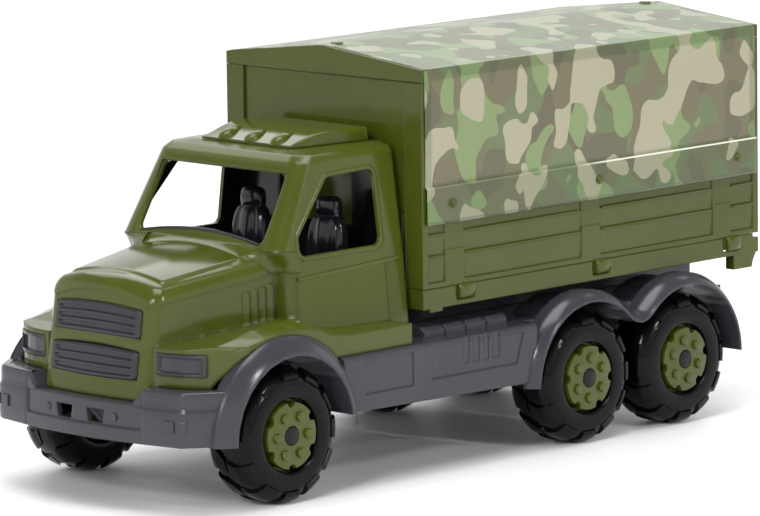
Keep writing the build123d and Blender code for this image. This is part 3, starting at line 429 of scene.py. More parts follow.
def filled_strip(rows, first=0, last=0):
    """Rings joined up, with end faces: 1 runs with the ring, -1 against it and 0 leaves the end open."""
    points, faces = ring_strip(rows)
    count = len(rows[0])
    for start, turn in ((0, first), (len(points) - count, last)):
        if turn:
            faces.append(tuple(range(start, start + count))[::turn])
    return points, faces


def join(parts):
    """Several (points, faces) as one."""
    points, faces = [], []
    for more_points, more_faces in parts:
        start = len(points)
        points += more_points
        faces += [tuple(start + i for i in face) for face in more_faces]
    return points, faces


def dome(centre, radius, height, out, steps=24):
    """A low round stud head on a surface, its top towards out."""
    out = Vector(out).normalized()
    side = out.orthogonal().normalized()
    other = out.cross(side)
    rows = []
    for share, lift in ((1.0, -0.6), (1.0, 0.35), (0.93, 0.7), (0.75, 0.92), (0.4, 1.0)):
        rows.append([Vector(centre) + (side * cos(2 * pi * k / steps) + other * sin(2 * pi * k / steps))
                     * radius * share + out * height * lift for k in range(steps)])
    return filled_strip(rows, last=1)


def slab(corners, out, thick, lift):
    """A plate with rounded edges: its corners, the way out, thickness and how far it starts inside."""
    out = Vector(out).normalized()
    middle = sum((Vector(c) for c in corners), Vector()) / len(corners)
    rows = []
    for shrink, height in ((0.0, -lift), (0.0, thick - 0.2), (0.06, thick), (0.2, thick + 0.02)):
        rows.append([(Vector(c) + (middle - Vector(c)) * shrink + out * height) * MM for c in corners])
    return filled_strip(rows, last=1)


def spin(centre, radius, y, angle):
    """A point on a wheel: angle from the front over the top."""
    return Vector((centre.x + radius * cos(angle), y, centre.z + radius * sin(angle)))


def circle(centre, radius, y, steps):
    """A ring of points round a wheel."""
    return [spin(centre, radius, y, 2 * pi * k / steps) for k in range(steps)]


def arc_points(centre_r, centre_y, radius, start, end, count):
    """(radius, y) points on an arc of a wheel's section."""
    angles = [radians(start + (end - start) * i / count) for i in range(count + 1)]
    return [(centre_r + radius * cos(a), centre_y + radius * sin(a)) for a in angles]


# ---------------------------------------------------------------- wheels
tyre_low, tyre_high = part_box("tyre_front_left")
tyre_r = (tyre_high.z - tyre_low.z) / 2
tyre_mid_y = (tyre_low.y + tyre_high.y) / 2
tyre_half = tyre_high.y - tyre_mid_y
tread_depth = 1.8 * MM
tread_r = tyre_r - tread_depth
opening_r = 22.5 * MM
shoulder_r = 10.0 * MM
opening_round = 2.6 * MM
lug_count = 12
lug_half = radians(9.4)       # half a lug's width at the shoulder
lug_arm_half = radians(6.0)   # and at the middle of the tread
lug_lean = radians(7.0)
lug_shoulder_share = 0.55     # how much of a lug wraps the shoulder
lug_top = radians(68)         # where on the shoulder's curve a lug starts
lug_lean_share = 0.45         # where along it a lug starts to lean and to narrow
lug_first_rise = 0.55         # share of the tread's depth at its outer end
lug_sink = 0.5 * MM           # how deep its foot stands in the tyre
lug_gap = 0.9 * MM            # how far from the tread's middle line it ends
wheel_steps = 120
lug_steps = 14


def tyre_section():
    """(radius, y) loop of the carcass, from the bore over the outer side and back by the inner side."""
    outer = ([(opening_r, 0.0)]
             + arc_points(opening_r + opening_round, tyre_half - opening_round, opening_round, 180, 90, 5)
             + [(opening_r + 2.2 * opening_round, tyre_half + 0.2 * MM)]
             + arc_points(tread_r - shoulder_r, tyre_half - shoulder_r, shoulder_r, 84, 4, 12)
             + [(tread_r + 0.2 * MM, 0.0)])
    inner = [(r, -y) for r, y in outer[-2:0:-1]]
    return [(r, tyre_mid_y + y) for r, y in outer + inner]


def lug_path(side):
    """(radius, y, the way out as its radius and y parts, share) down a lug to the tread's middle."""
    path = []
    for i in range(lug_steps + 1):
        share = i / lug_steps
        if share < lug_shoulder_share:
            a = lug_top - lug_top * share / lug_shoulder_share
            r = tread_r - shoulder_r + shoulder_r * cos(a)
            y = tyre_half - shoulder_r + shoulder_r * sin(a)
            path.append((r, side * y, cos(a), side * sin(a), share))
        else:
            across = (share - lug_shoulder_share) / (1 - lug_shoulder_share)
            y = (tyre_half - shoulder_r) * (1 - across) + lug_gap
            path.append((tread_r, side * y, 1.0, 0.0, share))
    return path


def lug(centre, turn, side):
    """One raised lug that wraps the shoulder and leans in towards the tread's middle."""
    rows = []
    for r, y, out_r, out_y, share in lug_path(side):
        tread_share = max(0.0, (share - lug_lean_share) / (1 - lug_lean_share))
        half = between(lug_half, lug_arm_half, tread_share)
        middle = turn + side * lug_lean * tread_share ** 1.5
        rise = tread_depth * min(1.0, lug_first_rise + share * 5)
        section = ((-1, -lug_sink), (-1, rise), (-0.33, rise), (0.33, rise), (1, rise), (1, -lug_sink))
        rows.append([spin(centre, r + out_r * lift, tyre_mid_y + y + out_y * lift, middle + across * half)
                     for across, lift in section])
    return filled_strip(rows, 1, -1)


def tyre_shape(centre):
    """A tyre's carcass with a row of lugs on each side."""
    parts = [ring_strip([circle(centre, r, y, wheel_steps) for r, y in tyre_section()], closed_rows=True)]
    for i in range(lug_count):
        turn = 2 * pi * i / lug_count - pi / 2
        parts.append(lug(centre, turn, 1))
        parts.append(lug(centre, turn + pi / lug_count, -1))
    return join(parts)


hub_r = 20.5 * MM
hub_face_y = 99.9 * MM
hub_edge = 0.9 * MM
hub_lip = 9.0 * MM
bore_r = 2.05 * MM
drum_r = 22.2 * MM
drum_inner_r = 19.2 * MM
drum_core_r = 6.0 * MM
drum_back_y = 69.5 * MM
disc_back_y = hub_face_y - hub_lip
web_y = hub_face_y - 1.6 * hub_lip
hub_steps = 240
drum_steps = 72
notch_r = 3.0 * MM
notch_count = 6
bolt_circle = 0.625 * hub_r
bolt_r = 3.3 * MM
bolt_proud = 2.1 * MM
# a bolt from its foot up: share of its radius, height over the hub's face
bolt_section = [(1.0, -0.5 * MM), (1.0, bolt_proud - 0.7 * MM), (0.93, bolt_proud - 0.25 * MM),
                (0.78, bolt_proud), (0.3, bolt_proud + 0.1 * MM)]
cap_r = 5.6 * MM
cap_gap = 0.35 * MM
cap_seat = 2.2 * MM           # how deep the hole for the cap is
hole_edge = 0.3 * MM
cap_steps = 48
# how far each axle's hubs are turned, degrees
hub_turn = {"front": 0.0, "middle": 26.0, "rear": 40.0}


def hub_rim(angle):
    """Radius of the hub's edge at an angle, with round bites out of it."""
    step = 2 * pi / notch_count
    off = (angle + step / 2) % step - step / 2
    across = hub_r * sin(off)
    if abs(across) >= notch_r:
        return hub_r
    return hub_r * cos(off) - sqrt(notch_r ** 2 - across ** 2)


def hub_shape(centre, turn):
    """A hub's notched disc, the drum behind it and its bolts."""
    angles = [2 * pi * k / hub_steps for k in range(hub_steps)]
    hole = cap_r + cap_gap
    rows = []
    for inside, depth in ((hole, cap_seat), (hole, hole_edge), (hole + hole_edge, 0.0)):
        rows.append([spin(centre, inside, hub_face_y - depth, a + turn) for a in angles])
    for back, depth in ((hub_edge, 0.0), (0.3 * hub_edge, 0.25 * hub_edge), (0.0, hub_edge), (0.0, hub_lip)):
        rows.append([spin(centre, hub_rim(a + pi / notch_count) - back, hub_face_y - depth, a + turn)
                     for a in angles])
    drum = [(bore_r, disc_back_y), (drum_r, disc_back_y), (drum_r, drum_back_y), (drum_inner_r, drum_back_y),
            (drum_inner_r, web_y), (drum_core_r, web_y), (drum_core_r, drum_back_y), (bore_r, drum_back_y)]
    parts = [ring_strip(rows),
             ring_strip([circle(centre, r, y, drum_steps) for r, y in drum], closed_rows=True)]
    for i in range(notch_count):
        a = turn + 2 * pi * i / notch_count
        middle = spin(centre, bolt_circle, hub_face_y, a)
        parts.append(filled_strip([[spin(middle, share * bolt_r, middle.y + height, a + pi / 3 * k)
                                    for k in range(6)] for share, height in bolt_section], last=1))
    return join(parts)


def cap_shape(centre):
    """The round cap over an axle's end."""
    section = [(0.001 * MM, -2 * MM), (cap_r, -2 * MM), (cap_r, -0.5 * MM), (cap_r - 0.15 * MM, -0.1 * MM),
               (cap_r - 0.6 * MM, 0.05 * MM), (0.001 * MM, 0.05 * MM)]
    return ring_strip([circle(centre, r, hub_face_y + proud, cap_steps) for r, proud in section])


wheel_finish = {"tyre": tyre_plastic, "hub": green_fine, "hub_cap": cap_plastic}


def make_wheels():
    """Detailed tyres, hubs and caps in place of the plain ones."""
    for axle in hub_turn:
        for side in ("left", "right"):
            body = f"wheel_{axle}_{side}"
            centre = Vector((joint_place[body].x, 0, joint_place[body].z))
            shapes = [("tyre", tyre_shape(centre)), ("hub", hub_shape(centre, radians(180 - hub_turn[axle]))),
                      ("hub_cap", cap_shape(centre))]
            for part, shape in shapes:
                if side == "right":
                    shape = mirror_points(shape)
                node = f"{part}_{axle}_{side}"
                slot = "plastic_dark" if part == "hub_cap" else slot_of_node[node]
                thing = piece(f"{node}_moulded", *shape, slot, body, finish=wheel_finish[part])
                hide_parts(node)


make_wheels()


# ---------------------------------------------------------------- film cover
film_t = 0.4 * MM
film_rows_along = 96
film_low_z = cover_low.z
film_y = tub_high.y + 0.35 * MM
eave_round = 1.6 * MM
hem_steps, wall_steps, eave_steps, roof_steps = 8, 24, 5, 12
# the film's fullness between its frames and studs
wall_swell = 0.3 * MM
wall_ripple = 0.5 * MM
hem_ripple = 0.35 * MM
roof_sag = 0.3 * MM


def film_section():
    """(y, z) points across the cover, from one lower hem over the ridge to the other."""
    hem_top = board_top_z - 2 * MM
    side = [(film_y + film_step, film_low_z + (hem_top - film_low_z) * i / hem_steps)
            for i in range(hem_steps + 1)]
    side += [(film_y + film_step, board_top_z - 1.3 * MM), (film_y + 0.9 * film_step, board_top_z - 0.6 * MM),
             (film_y + 0.3 * film_step, board_top_z + 0.3 * MM),
             (film_y + 0.1 * film_step, board_top_z + 0.7 * MM), (film_y, board_top_z + 1.3 * MM)]
    top = eave_z - eave_round
    side += [(film_y, board_top_z + (top - board_top_z) * i / wall_steps) for i in range(1, wall_steps + 1)]
    for i in range(1, eave_steps + 1):
        a = radians(84 * i / eave_steps)
        rise = eave_round * sin(a) + 0.4 * MM * i / eave_steps
        side.append((film_y - eave_round * (1 - cos(a)), top + rise))
    last_y, last_z = side[-1]
    slope = (ridge_z - eave_z) / film_y
    for i in range(1, roof_steps + 1):
        y = last_y * (1 - i / roof_steps)
        side.append((y, last_z + (last_y - y) * slope))
    return side + [(-y, z) for y, z in side[-2::-1]]


def film_bulge(x, y, z):
    """How far the stretched film stands out and up from its section."""
    along = (x - cover_low.x) / (cover_high.x - cover_low.x)
    if abs(y) > film_y - 2 * MM and z > board_top_z + 2 * MM:
        up = (z - board_top_z) / (eave_z - board_top_z)
        ripple = 0.35 * sin(6.2 * pi * along + 2.2 * up) + 0.25 * sin(3.1 * pi * along - 1.3)
        return (wall_swell + wall_ripple * ripple) * sin(pi * min(max(up, 0), 1)), 0.0
    if z <= board_top_z + 2 * MM:
        down = (board_top_z - z) / (board_top_z - film_low_z)
        return hem_ripple * sin(6 * pi * along) * max(0.0, down), 0.0
    return 0.0, -roof_sag * sin(pi * along) * (1 - abs(y) / film_y)


def make_cover():
    """The stretched film over the load box, in place of the plain cover."""
    section = film_section()
    rows = []
    for i in range(film_rows_along + 1):
        x = cover_low.x + (cover_high.x - cover_low.x) * i / film_rows_along
        row = []
        for y, z in section:
            out, up = film_bulge(x, y, z)
            row.append(Vector((x, y + (out if y > 0 else -out), z + up)))
        rows.append(row)
    points, faces = ring_strip(rows, closed_ring=False)
    faces = [tuple(reversed(face)) for face in faces]
    cover = piece("film_cover", points, faces, "printed_film", "truck", radians(60))
    thick = cover.modifiers.new("film thickness", "SOLIDIFY")
    thick.thickness = film_t
    thick.offset = 1.0
    girth = sum(hypot(b[0] - a[0], b[1] - a[1]) for a, b in zip(section, section[1:]))
    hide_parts("cover")


make_cover()


# ---------------------------------------------------------------- skins and trim over the mouldings
wheel_z = joint_place["wheel_front_left"].z
axle_x = {axle: joint_place[f"wheel_{axle}_left"].x for axle in hub_turn}
arch_root_y = 95.6 * MM
arch_lip_y = 104.0 * MM
arch_lip_r = 50.1 * MM
# name, the axles it goes over, radius of its root
arch_table = [("front", [axle_x["front"]], 60.2 * MM),
              ("rear", [axle_x["middle"], axle_x["rear"]], 55.8 * MM)]
# across a flare: share of the way from root to lip, fullness in millimetres
arch_section = [(0.0, 0.0), (0.06, 0.25), (0.2, 0.5), (0.4, 0.7), (0.6, 0.7), (0.8, 0.45), (0.92, 0.2),
                (1.0, 0.0)]
arch_full_up = 0.64 * MM      # the two parts of the way out from a flare
arch_full_side = 0.77 * MM
arch_valley_root_r = 10.0 * MM
arch_valley_lip_r = 14.0 * MM
arch_lip_t = 0.7 * MM
arch_lift = 0.12 * MM         # the skin stands this far off the flats under it
valley_lift = 0.45 * MM
arch_steps = 40
valley_steps = 14


def arch_line(centres, radius, valley_r):
    """(x, z) points over one wheel, or over two with a valley between them."""
    def arc(x, z, r, start, end, steps):
        angles = [start + (end - start) * i / steps for i in range(steps + 1)]
        return [(x + r * cos(a), z + r * sin(a)) for a in angles]
    front, rear = centres[0], centres[-1]
    if front == rear:
        return arc(front, wheel_z, radius, 0, pi, arch_steps)
    half = (front - rear) / 2
    span = radius + valley_r
    meet = acos(half / span)
    valley_z = wheel_z + sqrt(span ** 2 - half ** 2)
    valley = arc(front - half, valley_z, valley_r, -meet, meet - pi, valley_steps)
    return (arc(front, wheel_z, radius, 0, pi - meet, arch_steps) + valley[1:-1]
            + arc(rear, wheel_z, radius, meet, pi, arch_steps))


def make_arches():
    """Smooth flares from the skirt's side out to the lip over the wheels."""
    for name, centres, root_r in arch_table:
        rows = []
        for share, full in arch_section:
            r = between(root_r, arch_lip_r, share) + arch_lift + full * arch_full_up
            valley = between(arch_valley_root_r, arch_valley_lip_r, share) - valley_lift
            y = min(between(arch_root_y, arch_lip_y, share) + full * arch_full_side, arch_lip_y)
            rows.append([Vector((x, y, z)) for x, z in arch_line(centres, r, valley)])
        start = [Vector((p.x, arch_root_y - 0.5 * MM, p.z)) for p in rows[0]]
        end = [Vector((x, arch_lip_y - 0.02 * MM, z))
               for x, z in arch_line(centres, arch_lip_r - arch_lip_t, arch_valley_lip_r + arch_lip_t)]
        points, faces = ring_strip([start] + rows + [end], closed_ring=False)
        both_sides(f"arch_{name}_skin", points, faces, "plastic_grey", radians(50))


def rounded_loop(corners, radius, out, steps=6):
    """A closed line round convex corners, moved out and with every corner rounded."""
    loop = []
    count = len(corners)
    for i in range(count):
        a, b, c = (Vector(corners[(i + k) % count]) for k in (-1, 0, 1))
        before, after = (b - a).normalized(), (c - b).normalized()
        n0, n1 = Vector((before.y, -before.x)), Vector((after.y, -after.x))
        corner = b + (n0 + n1) / (1 + n0.dot(n1)) * out
        r = radius + out
        centre = corner - (n0 + n1) / (1 + n0.dot(n1)) * r
        turn = n0.angle(n1)
        for k in range(steps + 1):
            mixed = (n0 * sin(turn * (1 - k / steps)) + n1 * sin(turn * k / steps)) / sin(turn)
            loop.append(centre + mixed * r)
    return loop


def rim(corners, radius, place, width, proud, depth):
    """A raised rim round an opening, its inner edge rounding the opening's corners."""
    rows = []
    for out, lift in ((-0.25, -depth), (-0.25, 0.4 * proud), (0.25 * width, proud), (0.7 * width, proud),
                      (width, 0.3 * proud), (width, -0.4)):
        rows.append([place(q.x, q.y, lift) for q in rounded_loop(corners, radius, out)])
    return ring_strip(rows)


# the cab, in millimetres as all that follows
belt_z = 134.0
cab_half = 73.5               # half its width at the belt
side_lean = 0.1393
screen_foot = (161.0, 147.0)  # place along, height
screen_lean = 0.5729
side_window = [(73.9, 143.2), (144.0, 143.2), (144.0, 155.2), (114.4, 189.0), (73.9, 190.2)]
screen_opening = [(-55.0, 150.0), (55.0, 150.0), (54.1, 191.8), (-54.1, 191.8)]


def side_y(z):
    """Half width of the cab over its belt."""
    return cab_half - side_lean * (z - belt_z)


def screen_x(z):
    """The windscreen's plane."""
    return screen_foot[0] - screen_lean * (z - screen_foot[1])


def make_window_rims():
    """Raised rims round the side windows and the windscreen."""
    side = rim(side_window, radius=5.0, place=lambda x, z, out: mm(x, side_y(z) + out, z),
               width=2.6, proud=0.6, depth=2.4)
    both_sides("side_window_rim", *side, "plastic_green", radians(50))
    screen = rim(screen_opening, radius=5.5, place=lambda y, z, out: mm(screen_x(z) + out, y, z),
                 width=2.4, proud=0.5, depth=2.6)
    piece("windscreen_rim", *screen, "plastic_green", "truck", radians(50))


hood_rear = (148.2, 61.0, 142.0)       # place along, half width, shoulder's height
hood_front = (252.2, 47.5, 131.0)
hood_lean = 0.155
hood_bow = 4.5
hood_crown = 7.0
hood_shoulder = 10.0
hood_nose_r = 9.0
hood_base_z = 66.4
hood_lift = 0.3                        # the skin stands this far off the hood under it
hood_panel = [(163.0, 45.9), (226.6, 38.3)]     # raised panel: place along and half width
panel_proud = 1.3
panel_edge = (-2.6, -0.1)              # its slope, from this far outside its outline to this far
hood_across_steps = 44
hood_round_steps = 8
hood_along_steps = 90


def hood_line(half, shoulder_z, r):
    """Half of a section over the hood, from its centre to the foot of its shoulder: y and z."""
    slope = 2 * hood_crown * (half - r) / half ** 2
    joint = half - r + r * sin(slope)
    centre_z = shoulder_z + hood_crown * (1 - (joint / half) ** 2) - r * cos(slope)
    across = [joint * i / hood_across_steps for i in range(hood_across_steps)]
    turns = [(pi / 2 - slope) * (1 - i / hood_round_steps) for i in range(hood_round_steps + 1)]
    return ([(y, shoulder_z + hood_crown * (1 - (y / half) ** 2)) for y in across]
            + [(half - r + r * cos(a), centre_z + r * sin(a)) for a in turns])


def whole_line(half, shoulder_z, r):
    """A whole section over the hood, from the right to the left."""
    line = hood_line(half, shoulder_z, r)
    return [(-y, z) for y, z in line[:0:-1]] + line


def hood_panel_lift(x, y):
    """How far the raised panel lifts a point of the hood."""
    (x0, half0), (x1, half1) = hood_panel
    half = between(half0, half1, (x - x0) / (x1 - x0))
    return panel_proud * smooth_step(*panel_edge, min(x - x0, x1 - x, half - abs(y)))


def nose_x(y, z):
    """The bowed, leaning plane of the hood's nose."""
    return hood_front[0] - hood_lean * (z - hood_base_z) - hood_bow * (y / hood_rear[1]) ** 2


def make_hood():
    """The hood's smooth top, shoulders and nose, with its raised panel."""
    rear_x, rear_half, rear_z = hood_rear
    front_half, front_z = hood_front[1:]
    rear = [(rear_x, y, z) for y, z in whole_line(rear_half + hood_lift, rear_z + hood_lift, hood_shoulder)]
    front = [(nose_x(y, z) - hood_nose_r, y, z)
             for y, z in whole_line(front_half + hood_lift, front_z + hood_lift, hood_shoulder)]
    rows = []
    for i in range(hood_along_steps + 1):
        row = []
        for a, b in zip(rear, front):
            x, y, z = (between(p, q, i / hood_along_steps) for p, q in zip(a, b))
            row.append(mm(x, y, z + hood_panel_lift(x, y)))
        rows.append(row)
    for i in range(1, hood_round_steps + 1):
        turn = pi / 2 * i / hood_round_steps
        shrink = hood_nose_r * (1 - cos(turn)) - hood_lift
        behind = hood_nose_r * (1 - sin(turn)) - hood_lift
        line = whole_line(front_half - shrink, front_z - shrink, hood_shoulder - shrink)
        rows.append([mm(nose_x(y, z) - behind, y, z) for y, z in line])
    points, faces = ring_strip(rows, closed_ring=False)
    piece("hood_skin", points, faces, "plastic_green", "truck", radians(50))


stud_places = [("front", 25.9), ("middle", -107.4), ("rear", -239.7)]
stud_z = 165.0
stud_washer_r, stud_washer_t = 3.1, 0.4
stud_head_r, stud_head_t = 2.1, 1.5
knob_places = [("front", 37.4), ("rear", -248.9)]
knob_r, knob_rise = 4.0, 1.2


def make_film_trim():
    """Studs that hold the film's sides and knobs on its ridge."""
    stud_y = film_y + film_step + film_t
    for name, x in stud_places:
        centre = Vector((x * MM, stud_y, stud_z * MM))
        washer = dome(centre, stud_washer_r * MM, stud_washer_t * MM, (0, 1, 0))
        head = dome(centre + mm(0, stud_washer_t, 0), stud_head_r * MM, stud_head_t * MM, (0, 1, 0))
        both_sides(f"film_stud_{name}", *join([washer, head]), "plastic_green", finish=green_fine)
    for name, x in knob_places:
        centre = Vector((x * MM, 0, cad_box[1][2] - knob_rise * MM))
        knob = dome(centre, knob_r * MM, knob_rise * MM, (0, 0, 1), 32)
        piece(f"ridge_knob_{name}", *knob, "plastic_green", finish=green_fine)


door_y = 74.5


def make_small_trim():
    """Door handles, and the bosses beside the bumper's tow slots."""
    def bar(x0, x1, z0, z1):
        corners = [(x0, door_y, z0), (x1, door_y, z0), (x1, door_y, z1), (x0, door_y, z1)]
        return slab(corners, (0, 1, 0), thick=0.55, lift=0.6)
    handle = join([bar(83.8, 75.2, 124.0, 125.6), bar(84.0, 82.0, 119.8, 125.6)])
    both_sides("door_handle", *handle, "plastic_green", finish=green_fine)
    boss = dome(mm(260.3, 29.0, 56.5), 2.6 * MM, 0.5 * MM, (1, 0, 0))
    both_sides("tow_slot_boss", *boss, "plastic_grey", finish=grey_fine)


# a front pillar's foot: points at its top and at its foot, from the windscreen round to the door
pillar_foot = [((161.8, 42.0, 150.4), (168.0, 42.0, 143.2)), ((161.6, 53.0, 148.6), (165.0, 53.0, 141.0)),
               ((161.3, 60.8, 147.6), (158.0, 60.6, 134.0)), ((160.4, 65.1, 147.6), (153.1, 62.8, 134.0)),
               ((158.0, 68.8, 147.6), (152.5, 67.0, 134.0)), ((154.4, 71.2, 147.6), (150.1, 70.6, 134.0)),
               ((150.2, 72.0, 147.6), (146.3, 73.0, 134.0)), ((144.4, 71.6, 147.6), (142.0, 73.0, 134.0))]
pillar_thick = (1.5, 2.0, 0)
pillar_steps = 12


def make_pillar_feet():
    """The feet of the front pillars, which flow into the hood and the sides."""
    rows = []
    for k in range(pillar_steps + 1):
        share = k / pillar_steps
        slide = 1 - (1 - share) ** 1.7
        rows.append([mm(between(a[0], b[0], slide), between(a[1], b[1], slide), between(a[2], b[2], share))
                     for a, b in pillar_foot])
    deep = [[p - mm(*pillar_thick) for p in row] for row in rows]
    points, faces = ring_strip(rows + deep[::-1], closed_rows=True, closed_ring=False)
    both_sides("pillar_foot", points, faces, "plastic_green", radians(60), green_body)


# front and rear end of each strap and clip, heights of the ledges, front and rear end of the boards
strap_ends = [(31.2, 14.2), (-92.8, -110.7), (-217.7, -235.6)]
clip_ends = [(20.2, 6.9), (-104.9, -117.5), (-230.5, -242.8)]
ledge_heights = (146.3, 132.6)
board_ends = (48.0, -259.0)
clip_z = 108.8
clip_hook = [(-0.6, 113.4), (0.8, 113.6), (2.2, 113.0), (3.1, 111.6), (3.4, 109.6), (3.3, 107.4),
             (2.8, 105.6), (1.7, 104.4), (0.4, 104.0), (-0.6, 104.2)]


def make_board_trim():
    """Beads along the boards' ledges and the hooked clips under the straps."""
    side = tub_high.y / MM

    def ledge_bead(front, rear, z):
        rows = []
        for x, size in ((front, 0.1), (front - 0.6, 0.8), (front - 1.4, 1.0), (rear + 1.4, 1.0),
                        (rear + 0.6, 0.8), (rear, 0.1)):
            rows.append([mm(x, side - 0.3 + size * sin(pi * k / 8), z - 0.9 * size * cos(pi * k / 8))
                         for k in range(9)])
        return ring_strip(rows, closed_ring=False)

    def clip(front, rear):
        rows = []
        for x, size in ((front, 0.55), (front - 0.35, 0.85), (front - 1.0, 1.0), (rear + 1.0, 1.0),
                        (rear + 0.35, 0.85), (rear, 0.55)):
            rows.append([mm(x, side + y * size, clip_z + (z - clip_z) * (0.6 + 0.4 * size))
                         for y, z in clip_hook])
        return filled_strip(rows, 1, -1)

    edges = [board_ends[0]] + [x for pair in strap_ends for x in pair] + [board_ends[1]]
    beads = [ledge_bead(front - 1.0, rear + 1.0, z) for z in ledge_heights
             for front, rear in zip(edges[::2], edges[1::2])]
    both_sides("ledge_beads", *join(beads), "plastic_green", radians(70), green_fine)
    clips = [clip(*ends) for ends in clip_ends]
    both_sides("board_clips", *join(clips), "plastic_green", radians(50), green_fine)


# plan of the bumper's left end, from the recess round to the side
bumper_plan = [(258.4, 50.3), (257.9, 55.5), (256.2, 67.5), (253.2, 80.1), (247.4, 86.2), (238.5, 92.4),
               (227.0, 99.3)]
# its section from the foot up: height, depth inside the plan
bumper_section = [(42.5, 2.4), (42.3, 1.0), (42.6, 0.3), (43.4, 0.0), (50.0, 0.0), (57.0, 0.0), (62.4, 0.0),
                  (63.4, 0.2), (64.2, 0.65), (65.0, 1.1), (66.0, 1.3), (70.0, 1.35), (73.2, 1.4), (74.5, 1.8),
                  (75.2, 2.6), (75.4, 3.8), (75.4, 7.0)]
bumper_end_r = 2.2
# each pad's first and last place on the plan's smooth line, and the pads' foot and top
pad_spans = [(17, 21), (24, 27)]
pad_low_z, pad_high_z = 51.4, 58.4


def smooth_path(corners, steps=8):
    """A smooth curve through points, in a plane."""
    points = [Vector(c) for c in corners]
    points = [points[0] * 2 - points[1]] + points + [points[-1] * 2 - points[-2]]
    path = []
    for a, b, c, d in zip(points, points[1:], points[2:], points[3:]):
        for k in range(steps):
            t = k / steps
            path.append(0.5 * (b * 2 + (c - a) * t + (a * 2 - b * 5 + c * 4 - d) * t * t
                               + (b * 3 - a - c * 3 + d) * t ** 3))
    return path + [points[-2]]


def make_bumper_ends():
    """The bumper's rounded ends with their soft step, and the square pads on them."""
    path = smooth_path(bumper_plan)
    rows = []
    run = 0.0
    for i, place in enumerate(path):
        ahead = (path[min(i + 1, len(path) - 1)] - path[max(i - 1, 0)]).normalized()
        run += (place - path[i - 1]).length if i else 0.0
        left = 1 - min(run / bumper_end_r, 1.0)
        inset = bumper_end_r * (1 - sqrt(1 - left * left))
        out = Vector((ahead.y, -ahead.x))
        rows.append([mm(*(place - out * (depth + inset)), z) for z, depth in bumper_section])
    points, faces = ring_strip(rows, closed_ring=False)
    both_sides("bumper_end", points, faces, "plastic_grey", radians(60), grey_fine)
    pads = []
    for near, far in pad_spans:
        (x0, y0), (x1, y1) = path[near], path[far]
        corners = [(x0, y0, pad_low_z), (x1, y1, pad_low_z), (x1, y1, pad_high_z), (x0, y0, pad_high_z)]
        pads.append(slab(corners, (y1 - y0, x0 - x1, 0), thick=1.25, lift=0.4))
    both_sides("bumper_pads", *join(pads), "plastic_grey", finish=grey_fine)


def make_bumper_flanks():
    """Covers on the leaning flanks inside the bumper's ends."""
    corners = [(220.0, 43.0, 66.0), (257.0, 43.0, 66.0), (255.5, 51.6, 75.1), (220.0, 51.6, 75.1)]
    both_sides("bumper_flank", *slab(corners, (0, -0.72, 0.69), thick=0.4, lift=0.5), "plastic_grey")


brow_low = (193.3, 51.0)      # height, half length
brow_high = (196.6, 49.5)


def make_windscreen_brow():
    """A low bar along the roof's front edge, over the windscreen."""
    (z0, half0), (z1, half1) = brow_low, brow_high
    x0, x1 = screen_x(z0), screen_x(z1)
    corners = [(x0, -half0, z0), (x0, half0, z0), (x1, half1, z1), (x1, -half1, z1)]
    bar = slab(corners, (1, 0, 0.573), thick=1.9, lift=0.8)
    piece("windscreen_brow", *bar, "plastic_green", finish=green_fine)


fairing_low, fairing_high = (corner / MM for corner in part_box("roof_fairing"))
fairing_front_half = 39.4
fairing_lip = 1.3             # height of its front edge
fairing_sweep = 0.58          # share of its length over which it climbs
fairing_r = 3.0
fairing_steps = 40


def fairing_top(share):
    """Height of the roof's scoop: share is 0 at its front and 1 at its rear."""
    climb = fairing_high.z - fairing_low.z - fairing_lip
    return fairing_low.z + fairing_lip + climb * sin(pi / 2 * min(share / fairing_sweep, 1.0))


def make_fairing():
    """The roof's scoop, swept up in one curve."""
    rows = []
    for i in range(fairing_steps + 1):
        share = i / fairing_steps
        x = between(fairing_high.x, fairing_low.x, share)
        half = between(fairing_front_half, fairing_high.y, share)
        top = fairing_top(share)
        r = min(fairing_r, (top - fairing_low.z) * 0.8)
        turns = [pi * k / 16 for k in range(9)]
        line = [(half, fairing_low.z)] + [(half - r + r * cos(a) - 0.4, top - r + r * sin(a)) for a in turns]
        rows.append([mm(x, y, z) for y, z in line + [(-y, z) for y, z in reversed(line)]])
    thing = piece("roof_fairing_moulded", *filled_strip(rows, 1, -1), "plastic_green", "truck", radians(40))
    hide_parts("roof_fairing")


bump_places = (-23.0, 0.0, 23.0)
bump_ahead = 1.6              # how far a bump starts before the scoop
bump_length = 22.0
bump_half = 4.6
bump_widest = 0.3125          # share of its length to its widest place
bump_steps = 18


def make_roof_bumps():
    """Three lamp-shaped blisters along the front of the roof scoop."""
    parts = []
    for y in bump_places:
        rows = []
        for i in range(bump_steps + 1):
            share = i / bump_steps
            x = fairing_high.x + bump_ahead - bump_length * share
            swell = (sin(pi / 2 * share / bump_widest) if share < bump_widest
                     else cos(pi / 2 * (share - bump_widest) / (1 - bump_widest)))
            half = bump_half * swell + 0.05
            along = max(fairing_high.x - x, 0.0) / (fairing_high.x - fairing_low.x)
            base = fairing_top(along) - 0.3
            top = fairing_high.z + 1.5
            rows.append([mm(x, y + half * cos(pi * k / 12), min(base + 0.8 * half * sin(pi * k / 12), top))
                         for k in range(13)])
        parts.append(ring_strip(rows, closed_ring=False))
    piece("roof_bumps", *join(parts), "plastic_green", "truck", radians(60))


seat_y = 33.5
seat_widening = 1.12          # over the plain seats
seat_steps = 48
groove_y = 0.5                # share of a seat's half width
groove_width = 0.16


